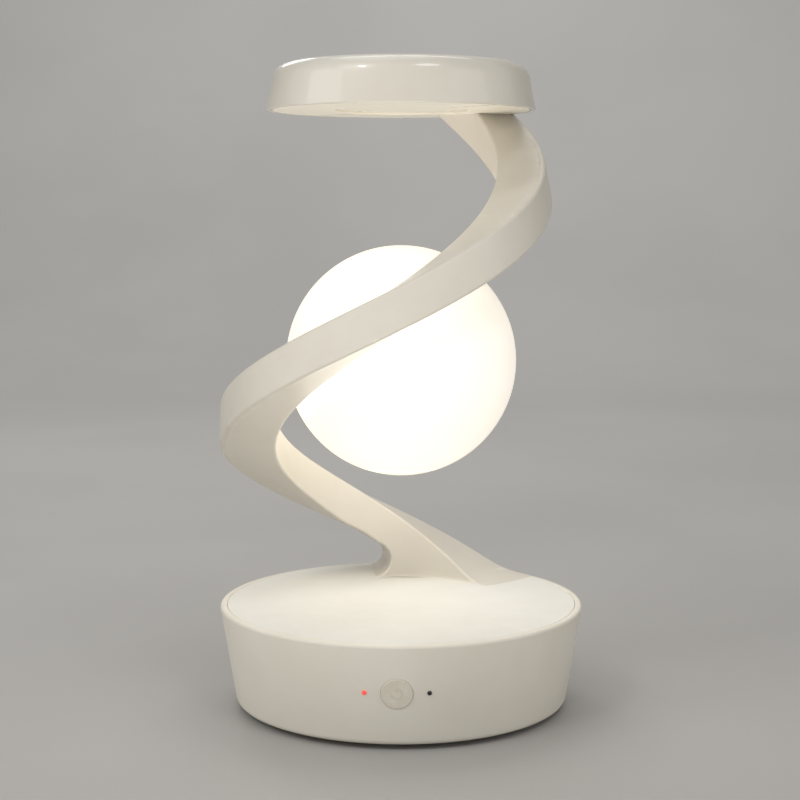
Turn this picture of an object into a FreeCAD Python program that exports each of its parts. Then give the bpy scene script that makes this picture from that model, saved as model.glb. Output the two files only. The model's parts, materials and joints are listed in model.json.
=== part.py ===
import FreeCAD, Part
import math
import os
import Sketcher

# Magnetic balance lamp: a round base with a charging top, one spiral arm that climbs once round a
# floating globe, and a flat canopy on the arm's upper end.  Millimetres, +Z up, front at -Y, origin
# on the table under the middle of the base.

DIMENSIONS = {
    "base_radius": (70.0, "upper rim of the base"),
    "base_bottom_radius": (63.8, "lower rim of the tapered wall"),
    "base_height": (39.6, "table to charging top"),
    "foot_height": (2.0, "gap that the foot ring leaves under the base"),
    "base_wall": (2.4, "moulded wall of the base"),
    "rim_fillet": (1.0, "rounding of the upper rim"),
    "hem_fillet": (2.0, "rounding of the lower rim"),
    "top_plate_radius": (67.2, "charging top inside the rim"),
    "top_plate_thickness": (2.0, "charging top"),
    "rim_seam": (0.2, "groove between the rim and the charging top"),
    "ledge_width": (2.8, "ledge that carries the charging top"),
    "cover_thickness": (2.0, "base cover"),
    "cover_radius": (61.2, "base cover"),
    "foot_ring_inner": (47.0, "soft foot ring"),
    "foot_ring_outer": (53.0, "soft foot ring"),
    "foot_ring_groove": (0.6, "depth that the foot ring is let into the cover"),
    "cover_screw_circle": (57.4, "radius of the ring of base cover screws"),
    "boss_radius": (4.2, "screw boss in the base"),
    "boss_height": (10.0, "screw boss in the base"),
    "ballast_radius": (50.0, "steel ballast"),
    "ballast_bore": (9.0, "steel ballast"),
    "ballast_thickness": (4.0, "steel ballast"),
    "board_thickness": (1.6, "main board"),
    "board_lift": (5.0, "standoffs under the main board"),
    "board_half_width": (22.0, "main board"),
    "board_front": (-20.0, "front edge of the main board"),
    "board_shoulder": (50.0, "where the board starts to narrow to its port end"),
    "board_rear": (61.0, "rear edge of the main board"),
    "board_tail_half_width": (9.0, "port end of the main board"),
    "port_width": (8.94, "power port shell"),
    "port_height": (3.26, "power port shell"),
    "port_depth": (7.4, "power port shell"),
    "port_mouth": (65.6, "distance of the port's mouth from the axis"),
    "port_clearance": (0.3, "gap round the port in the wall"),
    "coil_inner": (10.0, "charging coil"),
    "coil_outer": (22.0, "charging coil"),
    "coil_thickness": (1.4, "charging coil"),
    "ferrite_thickness": (0.8, "shield under the charging coil"),
    "tray_radius": (27.0, "coil tray"),
    "tray_wall": (1.2, "coil tray"),
    "control_height": (21.7, "height of the button and the indicators"),
    "button_radius": (5.7, "visible face of the power button"),
    "button_proud": (0.35, "how far the button stands out of the wall"),
    "button_clearance": (0.2, "gap round the button"),
    "button_flange": (7.0, "collar that keeps the button in"),
    "button_travel": (0.5, "press of the button"),
    "indicator_pitch": (11.5, "indicator to the middle of the button"),
    "indicator_radius": (1.0, "light pipe"),
    "arm_rise": (0.597, "climb per degree"),
    "arm_sag": (0.00012, "loss of climb per degree squared"),
    "arm_toe_angle": (52.3, "where the arm leaves the base, degrees from +X towards +Y"),
    "arm_toe_blend": (3.0, "how gently the toe meets the base, degrees"),
    "arm_twist": (4.2, "degrees by which the inner upper edge runs ahead at the foot"),
    "arm_lag": (1.0, "degrees by which the outer upper edge hangs back at the foot"),
    "arm_depth_out": (17.0, "height of the arm's outer face at its foot"),
    "arm_depth_loss": (0.0069, "loss of that height per degree"),
    "arm_depth_in": (17.8, "mean height of the arm's inner face"),
    "arm_depth_swell": (1.2, "how much that height swells at the back"),
    "arm_outer_radius": (69.95, "outer face low down"),
    "arm_outer_lean": (0.2, "how fast the outer face leans in above its knee"),
    "arm_outer_knee": (90.0, "height of that knee above the charging top"),
    "arm_knee_blend": (15.0, "how gently the outer face bends at its knee"),
    "arm_inner_foot_radius": (41.6, "inner face at the foot"),
    "arm_inner_gain": (6.8, "how much the inner face opens round the globe"),
    "arm_inner_gain_height": (37.0, "middle of that opening above the charging top"),
    "arm_inner_gain_blend": (8.0, "how gently it opens"),
    "arm_inner_lean": (0.17, "how fast the inner face leans in above its knee"),
    "arm_inner_knee": (97.0, "height of that knee above the charging top"),
    "arm_inner_knee_blend": (12.0, "how gently the inner face bends at its knee"),
    "arm_wall": (2.2, "wall of the hollow arm"),
    "arm_cover_thickness": (2.0, "outer cover strip of the arm"),
    "arm_cover_gap": (0.12, "fit of the cover strip on the channel"),
    "arm_low_dip": (0.75, "how much lower the outer lower edge runs behind the globe"),
    "arm_low_hook": (2.0, "how much further it bends down at the gap"),
    "arm_low_lift": (2.0, "how much the inner lower edge is raised at the gap"),
    "gap_inner_radius": (7.2, "round end of the gap under the arm, on the inner face"),
    "gap_inner_angle": (106.8, "middle of that round end"),
    "gap_outer_radius": (4.8, "round end of the gap on the outer face"),
    "gap_outer_angle": (101.9, "middle of that round end"),
    "gap_lift": (0.2, "lowest line of the round end over the charging top"),
    "foot_seat_depth": (0.3, "pocket in the charging top that the arm's foot sits in"),
    "foot_seat_radius": (67.0, "outer radius of what goes down into the pocket"),
    "foot_seat_gap": (0.1, "play round the foot in that pocket"),
    "lead_size": (3.0, "lead inside the arm"),
    "canopy_underside": (227.3, "table to the underside of the canopy"),
    "canopy_radius": (50.6, "lower rim of the canopy"),
    "canopy_top_radius": (47.4, "where the wall would meet the top without the rounding"),
    "canopy_height": (17.3, "canopy"),
    "canopy_fillet": (7.0, "rounding of the canopy's top edge"),
    "canopy_wall": (2.0, "canopy shell"),
    "canopy_cover_radius": (48.45, "underside cover"),
    "canopy_cover_thickness": (2.0, "underside cover"),
    "canopy_recess_radius": (25.0, "recess in the underside"),
    "canopy_recess_depth": (0.8, "recess in the underside"),
    "canopy_ledge_radius": (46.8, "ledge that the underside cover meets"),
    "chassis_radius": (46.4, "plate that carries the magnet"),
    "chassis_thickness": (1.2, "plate that carries the magnet"),
    "canopy_boss_circle": (42.4, "screw posts of the canopy shell"),
    "canopy_boss_radius": (2.4, "screw posts of the canopy shell"),
    "core_radius": (5.0, "iron core of the electromagnet"),
    "winding_radius": (16.0, "winding of the electromagnet"),
    "winding_height": (9.0, "winding of the electromagnet"),
    "globe_radius": (43.9, "outside of the globe"),
    "globe_wall": (2.0, "globe"),
    "globe_centre": (133.0, "height of the globe's centre"),
    "globe_mouth": (17.0, "opening under the globe"),
    "globe_step": (1.5, "ledge inside that opening"),
    "globe_seat": (39.5, "depth of that ledge below the centre"),
    "globe_floor": (38.0, "inside face of the globe's cap below the centre"),
    "magnet_radius": (11.0, "magnet in the globe"),
    "magnet_height": (8.0, "magnet in the globe"),
}

SHEET = "Dims"
doc = FreeCAD.newDocument("balance_lamp")
sheet = doc.addObject("Spreadsheet::Sheet", SHEET)
for row, (alias, (size, note)) in enumerate(DIMENSIONS.items(), start=1):
    sheet.set("A%d" % row, alias)
    sheet.set("B%d" % row, str(size))
    sheet.set("C%d" % row, note)
    sheet.setAlias("B%d" % row, alias)
doc.recompute()

NODES = []


def expression(text):
    """Turn words such as base_radius - 2 into an expression on the sheet's cells."""
    for alias in sorted(DIMENSIONS, key=len, reverse=True):
        text = _whole_word(text, alias)
    return text


def _whole_word(text, alias):
    parts = text.split(alias)
    joined = parts[0]
    for part in parts[1:]:
        before = joined[-1:]
        inside_a_word = before.isalnum() or before in ("_", ".") or part[:1].isalnum() or part[:1] == "_"
        joined += (alias if inside_a_word else SHEET + "." + alias) + part
    return joined


def size(text):
    """The number of millimetres that an expression gives."""
    answer = sheet.evalExpression(expression(text))
    return float(getattr(answer, "Value", answer))


def bind(piece, **sizes):
    """Drive properties of a piece from the sheet."""
    for name, text in sizes.items():
        piece.setExpression(name, expression(text))
    return piece


def place(piece, x="0", y="0", z="0"):
    """Put a piece at a point that follows the sheet."""
    for axis, text in (("x", x), ("y", y), ("z", z)):
        piece.setExpression("Placement.Base." + axis, expression(text))
    return piece


def node(piece):
    """Keep a finished piece as a sub-part of the lamp."""
    NODES.append(piece)
    return piece


# ---- ways of making a piece ---------------------------------------------------------------------

def plane(body, role):
    return [item for item in body.Origin.OriginFeatures if item.Role == role][0]


def pin_point(sketch, geometry, end, x, y):
    """Hold one end of a sketched line at two expressions."""
    for kind, text, axis in (("DistanceX", x, -2), ("DistanceY", y, -1)):
        if text == "0":
            sketch.addConstraint(Sketcher.Constraint("PointOnObject", geometry, end, axis))
        else:
            held = Sketcher.Constraint(kind, -1, 1, geometry, end, size(text))
            sketch.setExpression("Constraints[%d]" % sketch.addConstraint(held), expression(text))


def outline_sketch(body, role, outline):
    """A closed outline of straight lines through points given as pairs of expressions."""
    sketch = body.newObject("Sketcher::SketchObject", body.Name + "_outline")
    sketch.AttachmentSupport = (plane(body, role), [""])
    sketch.MapMode = "FlatFace"
    points = [FreeCAD.Vector(size(x), size(y), 0) for x, y in outline]
    count = len(points)
    for i in range(count):
        sketch.addGeometry(Part.LineSegment(points[i], points[(i + 1) % count]))
    for i in range(count):
        sketch.addConstraint(Sketcher.Constraint("Coincident", i, 2, (i + 1) % count, 1))
    for i, (x, y) in enumerate(outline):
        pin_point(sketch, i, 1, x, y)
    return sketch


def turned(label, outline, z="0"):
    """A body turned about the Z axis from an outline of (radius, height) pairs."""
    body = doc.addObject("PartDesign::Body", label)
    sketch = outline_sketch(body, "XZ_Plane", outline)
    turn = body.newObject("PartDesign::Revolution", label + "_turn")
    turn.Profile = sketch
    turn.ReferenceAxis = (sketch, ["V_Axis"])
    turn.Angle = 360
    place(body, z=z)
    return body


def ring(label, inner, outer, low, high, z="0"):
    """A flat ring, or a disc where inner is 0."""
    return turned(label, [(inner, low), (outer, low), (outer, high), (inner, high)], z)


def padded(label, outline, low, length):
    """A body raised from an outline of (x, y) pairs."""
    body = doc.addObject("PartDesign::Body", label)
    sketch = outline_sketch(body, "XY_Plane", outline)
    pad = body.newObject("PartDesign::Pad", label + "_pad")
    pad.Profile = sketch
    bind(pad, Length=length)
    place(body, z=low)
    return body


def round_edges(body, radius, wanted):
    """Fillet the circular edges whose (radius, height) is wanted."""
    doc.recompute()
    names = []
    for number, edge in enumerate(body.Shape.Edges, start=1):
        curve = edge.Curve
        if not isinstance(curve, Part.Circle):
            continue
        for r, z in wanted:
            level = size(z) + body.Placement.Base.z
            if abs(curve.Radius - size(r)) < 0.01 and abs(curve.Center.z - level) < 0.01:
                names.append("Edge%d" % number)
    if len(names) != len(wanted):
        raise RuntimeError("edges to round not found on " + body.Label)
    before = body.Tip
    fillet = body.newObject("PartDesign::Fillet", body.Name + "_rounding")
    fillet.Base = (before, names)
    bind(fillet, Radius=radius)
    body.Tip = fillet
    return body


def cylinder(label, radius, height, x="0", y="0", z="0"):
    return place(bind(doc.addObject("Part::Cylinder", label), Radius=radius, Height=height), x, y, z)


def block(label, length, width, height, x="0", y="0", z="0"):
    """A box centred on x and y that stands on z."""
    box = bind(doc.addObject("Part::Box", label), Length=length, Width=width, Height=height)
    return place(box, "%s - (%s) / 2" % (x, length), "%s - (%s) / 2" % (y, width), z)


def around(radius, angle):
    """X and Y expressions of a point on a circle."""
    return "(%s) * cos(%s deg)" % (radius, angle), "(%s) * sin(%s deg)" % (radius, angle)


def fused(label, pieces):
    joined = doc.addObject("Part::MultiFuse", label)
    joined.Shapes = pieces
    return joined


def group(label, pieces):
    """Separate solids that share one node."""
    together = doc.addObject("Part::Compound", label)
    together.Links = pieces
    return together


def cut(label, base, tools):
    tool = tools[0] if len(tools) == 1 else fused(label + "_tools", tools)
    result = doc.addObject("Part::Cut", label)
    result.Base = base
    result.Tool = tool
    return result


def screw(label, head_radius, head_height, shank_radius, length, x, y, seat, up=True):
    """A pan head whose flat side seats at a height, with its shank above or below."""
    head_low = "%s - %s" % (seat, head_height) if up else seat
    shank_low = seat if up else "%s - %s" % (seat, length)
    head = cylinder(label + "_head", head_radius, head_height, x, y, head_low)
    shank = cylinder(label + "_shank", shank_radius, length, x, y, shank_low)
    return fused(label, [head, shank])


# ---- base --------------------------------------------------------------------------------------

COVER_SCREW_ANGLES = (45, 135, 225, 315)
FOOT_SCREWS = (("57", "67"), ("48", "80"), ("61", "91"))
CABLE_HOLE = ("54.8", "88")
PLATE_BOTTOM = "base_height - top_plate_thickness"
FOOT_SEAT_TOE = 43.15
FOOT_SEAT_NEAR = ("-10.46", "20")
FOOT_SEAT_FAR = ("-16.33", "90")
LEDGE_RADIUS = "top_plate_radius + rim_seam - ledge_width"
COVER_TOP = "foot_height + cover_thickness"
BALLAST_TOP = COVER_TOP + " + ballast_thickness"
BOARD_BOTTOM = BALLAST_TOP + " + board_lift"
BOARD_TOP = BOARD_BOTTOM + " + board_thickness"


def wall_radius(height):
    """Outer radius of the tapered base wall at a height."""
    share = "((%s) - foot_height) / (base_height - foot_height)" % height
    return "base_bottom_radius + (base_radius - base_bottom_radius) * " + share


def control_frame():
    """Placement on the front wall: X right, Y up the wall, Z straight out of it."""
    run = size("base_radius - base_bottom_radius")
    taper = math.degrees(math.atan2(run, size("base_height - foot_height")))
    reach = size(wall_radius("control_height"))
    turn = FreeCAD.Rotation(FreeCAD.Vector(1, 0, 0), 90 + taper)
    return FreeCAD.Placement(FreeCAD.Vector(0, -reach, size("control_height")), turn)


def on_wall(piece, x, y, z):
    """Stand a piece on the front wall's own frame."""
    offset = FreeCAD.Placement(FreeCAD.Vector(x, y, z), FreeCAD.Rotation())
    piece.Placement = control_frame().multiply(offset)
    return piece


def wall_cylinder(label, radius, x, low, high):
    piece = bind(doc.addObject("Part::Cylinder", label), Radius=radius)
    piece.Height = high - low
    return on_wall(piece, x, 0, low)


def rounded_bar(label, width, depth, height, fillet, y, z):
    """A bar that lies along Y with its four long edges rounded."""
    bar = block(label + "_bar", width, depth, height, "0", y, z)
    doc.recompute()
    long_edges = []
    for number, edge in enumerate(bar.Shape.Edges, start=1):
        along = edge.tangentAt(edge.FirstParameter)
        if abs(along.y) > 0.99:
            long_edges.append((number, fillet, fillet))
    soft = doc.addObject("Part::Fillet", label)
    soft.Base = bar
    soft.Edges = long_edges
    return soft


# Depths of the controls under the wall's outer face.
SWITCH_BOARD_FACE = -9.3
SWITCH_BOARD_THICKNESS = 1.2
SWITCH_POST_X = 15.0
PLUNGER_LOW = -6.2
BUTTON_BACK = -5.0
LIGHT_PIPE_LOW = -8.4
LIGHT_PIPE_TOP = -0.75


def base_shell():
    ledge_low = PLATE_BOTTOM + " - 2"
    inner_high = PLATE_BOTTOM + " - 4.5"
    body = turned("base_shell_wall", [
        ("base_bottom_radius", "foot_height"),
        ("base_radius", "base_height"),
        ("top_plate_radius + rim_seam", "base_height"),
        ("top_plate_radius + rim_seam", PLATE_BOTTOM),
        (LEDGE_RADIUS, PLATE_BOTTOM),
        (LEDGE_RADIUS, ledge_low),
        (wall_radius(inner_high) + " - base_wall", inner_high),
        ("base_bottom_radius - base_wall", "foot_height"),
    ])
    round_edges(body, "rim_fillet", [("base_radius", "base_height")])
    round_edges(body, "hem_fillet", [("base_bottom_radius", "foot_height")])
    solids = [body]
    holes = []
    for angle in COVER_SCREW_ANGLES:
        x, y = around("cover_screw_circle + 1.2", angle)
        solids.append(cylinder("base_boss_%d" % angle, "boss_radius", "boss_height", x, y, COVER_TOP))
        x, y = around("cover_screw_circle", angle)
        holes.append(cylinder("base_boss_hole_%d" % angle, "1.45", "8", x, y, COVER_TOP))
    for side in (-1, 1):
        post = wall_cylinder("switch_post_%d" % (side + 1), "2", side * SWITCH_POST_X,
                             SWITCH_BOARD_FACE, -3.0)
        solids.append(post)
        holes.append(wall_cylinder("switch_post_hole_%d" % (side + 1), "0.85",
                                   side * SWITCH_POST_X, SWITCH_BOARD_FACE, -5.0))
        holes.append(wall_cylinder("indicator_hole_%d" % (side + 1), "indicator_radius + 0.05",
                                   side * size("indicator_pitch"), -8.0, 2.0))
    holes.append(wall_cylinder("button_hole", "button_radius + button_clearance", 0, -8.0, 2.0))
    port = rounded_bar("port_hole", "port_width + 2 * port_clearance", "12",
                       "port_height + 2 * port_clearance", 1.7, "port_mouth",
                       BOARD_TOP + " - port_clearance")
    holes.append(port)
    node(cut("base_shell", fused("base_shell_solid", solids), holes))


def top_plate():
    """The plate has a shallow pocket that locates the arm's foot, open at the plate's edge."""
    plate = ring("top_plate_disc", "0", "top_plate_radius", PLATE_BOTTOM, "base_height")
    sector = [around(20, FOOT_SEAT_TOE), around(95, FOOT_SEAT_TOE),
              ("70", "95"), FOOT_SEAT_FAR, FOOT_SEAT_NEAR]
    pocket = padded("foot_seat_sector", sector, "base_height - foot_seat_depth", "2")
    keep = cylinder("foot_seat_inside", "arm_inner_foot_radius - foot_seat_gap", "8", z="base_height - 4")
    holes = [cut("foot_seat", pocket, [keep])]
    for number, (radius, angle) in enumerate(FOOT_SCREWS):
        x, y = around(radius, angle)
        holes.append(cylinder("top_plate_hole_%d" % number, "1.55", "8", x, y, "base_height - 4"))
    x, y = around(*CABLE_HOLE)
    holes.append(cylinder("top_plate_cable_hole", "3", "8", x, y, "base_height - 4"))
    node(cut("charging_top_plate", plate, holes))


def base_cover():
    cover = turned("base_cover_disc", [
        ("0", "foot_height"),
        ("foot_ring_inner", "foot_height"),
        ("foot_ring_inner", "foot_height + foot_ring_groove"),
        ("foot_ring_outer", "foot_height + foot_ring_groove"),
        ("foot_ring_outer", "foot_height"),
        ("cover_radius", "foot_height"),
        ("cover_radius", COVER_TOP),
        ("0", COVER_TOP),
    ])
    holes = []
    screws = []
    for angle in COVER_SCREW_ANGLES:
        x, y = around("cover_screw_circle", angle)
        holes.append(cylinder("cover_hole_%d" % angle, "1.45", "6", x, y, "foot_height - 2"))
        holes.append(cylinder("cover_sink_%d" % angle, "2.9", "1.2", x, y, "foot_height"))
        screws.append(screw("base_cover_screw_%d" % angle, "2.6", "1.1", "1.35", "7", x, y,
                            "foot_height + 1.2"))
    node(cut("base_bottom_cover", cover, holes))
    node(group("base_cover_screws", screws))
    node(ring("foot_ring", "foot_ring_inner", "foot_ring_outer", "0", "foot_height + foot_ring_groove"))
    node(ring("ballast_plate", "ballast_bore", "ballast_radius", COVER_TOP, BALLAST_TOP))


def main_board():
    node(padded("main_board", [
        ("-board_half_width", "board_front"),
        ("board_half_width", "board_front"),
        ("board_half_width", "board_shoulder"),
        ("board_tail_half_width", "board_rear"),
        ("-board_tail_half_width", "board_rear"),
        ("-board_half_width", "board_shoulder"),
    ], BOARD_BOTTOM, "board_thickness"))
    posts = []
    for x in ("-17", "17"):
        for y in ("-14", "42"):
            posts.append(cylinder("standoff_%d" % len(posts), "2.4", "board_lift", x, y, BALLAST_TOP))
    node(group("board_standoffs", posts))
    parts = [
        cylinder("inductor", "5", "5", "-11", "8", BOARD_TOP),
        cylinder("capacitor", "4", "9", "11", "8", BOARD_TOP),
        block("driver_chip", "7", "7", "1.2", "0", "24", BOARD_TOP),
        block("charger_chip", "5", "5", "1", "0", "40", BOARD_TOP),
        block("coil_socket", "10", "5", "6", "0", "-14", BOARD_TOP),
    ]
    node(group("board_components", parts))


def power_port():
    outer = rounded_bar("port_outer", "port_width", "port_depth", "port_height", 1.5,
                        "port_mouth - port_depth / 2", BOARD_TOP)
    inner = rounded_bar("port_inner", "port_width - 0.7", "port_depth", "port_height - 0.7", 1.15,
                        "port_mouth - port_depth / 2 + 0.8", BOARD_TOP + " + 0.35")
    tongue = block("port_tongue", "6.7", "5.2", "0.7", "0", "port_mouth - port_depth / 2 - 0.4",
                   BOARD_TOP + " + port_height / 2 - 0.35")
    node(fused("usb_c_receptacle", [cut("port_shell", outer, [inner]), tongue]))


def charging_coil():
    coil_low = PLATE_BOTTOM + " - coil_thickness"
    ferrite_low = coil_low + " - ferrite_thickness"
    node(ring("charging_coil", "coil_inner", "coil_outer", coil_low, PLATE_BOTTOM))
    node(ring("coil_ferrite", "0", "tray_radius - tray_wall - 0.3", ferrite_low, coil_low))
    node(turned("coil_tray", [
        ("0", ferrite_low + " - tray_wall"),
        ("tray_radius", ferrite_low + " - tray_wall"),
        ("tray_radius", PLATE_BOTTOM),
        ("tray_radius - tray_wall", PLATE_BOTTOM),
        ("tray_radius - tray_wall", ferrite_low),
        ("0", ferrite_low),
    ]))


def front_controls():
    board = doc.addObject("Part::Box", "switch_board")
    board.Length, board.Width, board.Height = 36.0, 12.0, SWITCH_BOARD_THICKNESS
    on_wall(board, -18.0, -6.0, SWITCH_BOARD_FACE - SWITCH_BOARD_THICKNESS)
    node(board)
    housing = doc.addObject("Part::Box", "tact_switch_block")
    housing.Length, housing.Width, housing.Height = 6.0, 6.0, 3.4
    on_wall(housing, -3.0, -3.0, SWITCH_BOARD_FACE)
    bore_low = PLUNGER_LOW - 2 * size("button_travel")
    node(cut("tact_switch", housing, [wall_cylinder("tact_bore", "1.85", 0, bore_low, BUTTON_BACK)]))
    node(wall_cylinder("tact_plunger", "1.75", 0, PLUNGER_LOW, BUTTON_BACK))
    button = turned("power_button", [
        ("0", str(BUTTON_BACK)),
        ("1.6", str(BUTTON_BACK)),
        ("1.6", "-base_wall - 2"),
        ("button_flange", "-base_wall - 2"),
        ("button_flange", "-base_wall - 1"),
        ("button_radius", "-base_wall - 1"),
        ("button_radius", "button_proud"),
        ("0", "button_proud"),
    ])
    round_edges(button, "0.3", [("button_radius", "button_proud")])
    for axis in "xyz":
        button.setExpression("Placement.Base." + axis, None)
    button.Placement = control_frame()
    node(button)
    pitch = size("indicator_pitch")
    for name, side in (("power_light_pipe", -1), ("status_light_pipe", 1)):
        node(wall_cylinder(name, "indicator_radius", side * pitch, LIGHT_PIPE_LOW, LIGHT_PIPE_TOP))
    chips = []
    for side in (-1, 1):
        chip = doc.addObject("Part::Box", "indicator_led_%d" % (side + 1))
        chip.Length, chip.Width, chip.Height = 2.0, 1.6, 0.9
        chips.append(on_wall(chip, side * pitch - 1.0, -0.8, SWITCH_BOARD_FACE))
    node(group("indicator_leds", chips))
    screws = []
    for side in (-1, 1):
        x = side * SWITCH_POST_X
        back = SWITCH_BOARD_FACE - SWITCH_BOARD_THICKNESS
        head = wall_cylinder("switch_screw_head_%d" % (side + 1), "1.7", x, back - 1.2, back)
        screws.append(head)
    node(group("switch_board_screws", screws))


# ---- spiral arm --------------------------------------------------------------------------------

ARM_STEP = 11.0
ARM_START = size("arm_toe_angle") - 9.0
ARM_FOOT_END = size("gap_inner_angle")
ARM_CHANNEL_START = ARM_FOOT_END + 7.0
ARM_TIP_START = 398.0
ARM_END = 432.0
BELOW_BASE = -20.0
SWELL_ANGLE = 151.0
SWELL_PERIOD = 240.0
TWIST_FRONT = 50.0
TWIST_BACK = 175.0
TWIST_END = 250.0
LAG_START = 100.0
LAG_END = 150.0
DIP_START = 130.0
DIP_END = 170.0
HOOK_START = 97.0
HOOK_END = 111.0
LIFT_START = 108.0
LIFT_END = 128.0
GAP_START = 95.0
GAP_TOUCH_INNER = (-7.6, 40.9)
GAP_TOUCH_OUTER = (-11.9, 68.9)


def soft_ramp(distance, blend):
    """Zero before a bend and a straight line after it, with a gentle turn between."""
    return blend * math.log1p(math.exp(distance / blend))


def eased(value, low, high):
    """A smooth step from 0 to 1."""
    share = min(max((value - low) / (high - low), 0.0), 1.0)
    return share * share * (3.0 - 2.0 * share)


def arm_top(angle):
    """Mean height of the arm's upper face above the charging top."""
    turn = angle - size("arm_toe_angle")
    return size("arm_rise") * soft_ramp(turn, size("arm_toe_blend")) - size("arm_sag") * turn * turn


def outer_radius(height):
    lean = soft_ramp(height - size("arm_outer_knee"), size("arm_knee_blend"))
    return size("arm_outer_radius") - size("arm_outer_lean") * lean


def inner_radius(height):
    blend = size("arm_inner_gain_blend")
    opened = size("arm_inner_gain") / (1 + math.exp((size("arm_inner_gain_height") - height) / blend))
    lean = soft_ramp(height - size("arm_inner_knee"), size("arm_inner_knee_blend"))
    return size("arm_inner_foot_radius") + opened - size("arm_inner_lean") * lean


def upper_edges(angle):
    """Heights of the outer and the inner upper edge, which twist about each other low down."""
    wave = math.cos(math.pi * (min(angle, TWIST_BACK) - TWIST_FRONT) / (TWIST_BACK - TWIST_FRONT))
    ahead = size("arm_twist") * wave * (1.0 - eased(angle, TWIST_BACK, TWIST_END))
    behind = size("arm_lag") * (1.0 - eased(angle, LAG_START, LAG_END))
    return arm_top(angle - behind), arm_top(angle + ahead)


def lower_edges(angle):
    """Heights of the outer and the inner lower edge."""
    top = arm_top(angle)
    outer = top - size("arm_depth_out") + size("arm_depth_loss") * (angle - size("arm_toe_angle"))
    outer -= size("arm_low_dip") * (1.0 - eased(angle, DIP_START, DIP_END))
    outer -= size("arm_low_hook") * (1.0 - eased(angle, HOOK_START, HOOK_END))
    wave = math.cos(math.radians((angle - SWELL_ANGLE) * 360.0 / SWELL_PERIOD))
    inner = top - size("arm_depth_in") - size("arm_depth_swell") * wave
    inner += size("arm_low_lift") * (1.0 - eased(angle, LIFT_START, LIFT_END))
    return outer, inner


def full_section(angle):
    high_out, high_in = upper_edges(angle)
    low_out, low_in = lower_edges(angle)
    return [(outer_radius(high_out), high_out), (inner_radius(high_in), high_in),
            (inner_radius(low_in), low_in), (outer_radius(low_out), low_out)]


def foot_section(angle):
    upper_out, upper_in, lower_in, lower_out = full_section(angle)
    return [upper_out, upper_in, lower_in, (inner_radius(BELOW_BASE), BELOW_BASE),
            (outer_radius(BELOW_BASE), BELOW_BASE), lower_out]


def inset_section(angle):
    """The full section without the thickness of the cover strip."""
    inset = size("arm_cover_thickness + arm_cover_gap")
    (ro, zo), upper_in, lower_in, (rl, zl) = full_section(angle)
    return [(ro - inset, zo), upper_in, lower_in, (rl - inset, zl)]


def channel_section(angle):
    """A U that opens outwards, its flange ends in line with the back of the cover strip."""
    wall = size("arm_wall")
    (ro, zo), (ri, zi), (rj, zj), (rl, zl) = inset_section(angle)
    lean = wall * (rl - ro) / (zo - zl)
    return [(ro, zo), (ri, zi), (rj, zj), (rl, zl),
            (rl - lean, zl + wall), (rj + wall, zj + wall), (ri + wall, zi - wall), (ro + lean, zo - wall)]


def cover_section(angle):
    strip = size("arm_cover_thickness")
    (ro, zo), _, _, (rl, zl) = full_section(angle)
    return [(ro, zo), (ro - strip, zo), (rl - strip, zl), (rl, zl)]


def lead_section(angle):
    """The lead lies on the lower wall of the channel."""
    _, _, (rj, zj), (rl, zl) = inset_section(angle)
    side = size("lead_size")
    middle = (rj + rl) / 2
    floor = max(zj, zl) + size("arm_wall") + 0.4
    return [(middle - side / 2, floor), (middle + side / 2, floor),
            (middle + side / 2, floor + side), (middle - side / 2, floor + side)]


def on_arm(angle, radius, height):
    turn = math.radians(angle)
    return FreeCAD.Vector(radius * math.cos(turn), radius * math.sin(turn),
                          height + size("base_height"))


def strip_between(first, second):
    """Face of straight lines between two curves that share their knots."""
    surface = Part.BSplineSurface()
    surface.buildFromPolesMultsKnots([first.getPoles(), second.getPoles()],
                                     [2, 2], first.getMultiplicities(), [0, 1], first.getKnots(),
                                     False, False, 1, first.Degree)
    return surface.toShape()


def spiral_solid(section, start, end):
    """Solid that carries a section of (radius, height) corners from one radial plane to another."""
    steps = max(3, round((end - start) / ARM_STEP))
    angles = [start + (end - start) * i / steps for i in range(steps + 1)]
    sections = [section(angle) for angle in angles]
    corners = range(len(sections[0]))
    curves = []
    for corner in corners:
        curve = Part.BSplineCurve()
        points = [on_arm(angle, *outline[corner]) for angle, outline in zip(angles, sections)]
        curve.interpolate(Points=points, Parameters=angles)
        curves.append(curve)
    faces = [strip_between(curves[corner - 1], curves[corner]) for corner in corners]
    for angle, points in ((angles[0], sections[0]), (angles[-1], sections[-1])):
        rim = [on_arm(angle, *point) for point in points]
        faces.append(Part.Face(Part.makePolygon(rim + rim[:1])))
    shell = Part.makeShell(faces)
    shell.sewShape()
    solid = Part.makeSolid(shell)
    if solid.Volume < 0:
        solid.reverse()
    return solid


def slab(low, high):
    return Part.makeBox(400, 400, high - low, FreeCAD.Vector(-200, -200, low))


def drilled(radius, x, y, low, high):
    return Part.makeCylinder(radius, high - low, FreeCAD.Vector(x, y, low))


def polar(radius, angle):
    turn = math.radians(float(angle))
    return float(radius) * math.cos(turn), float(radius) * math.sin(turn)


def shape_node(label, shape):
    piece = doc.addObject("Part::Feature", label)
    piece.Shape = shape
    piece.Placement = FreeCAD.Placement()
    return node(piece)


DUCT_START = 84.0
TIP_SCREWS = ((43.0, 401.0), (38.0, 409.5))


def gap_point(side):
    """Centre and radius of the gap's round end on the inner or the outer face."""
    radius = size("gap_%s_radius" % side)
    reach = size("arm_inner_foot_radius") if side == "inner" else size("arm_outer_radius")
    return on_arm(size("gap_%s_angle" % side), reach, radius + size("gap_lift")), radius


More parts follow.
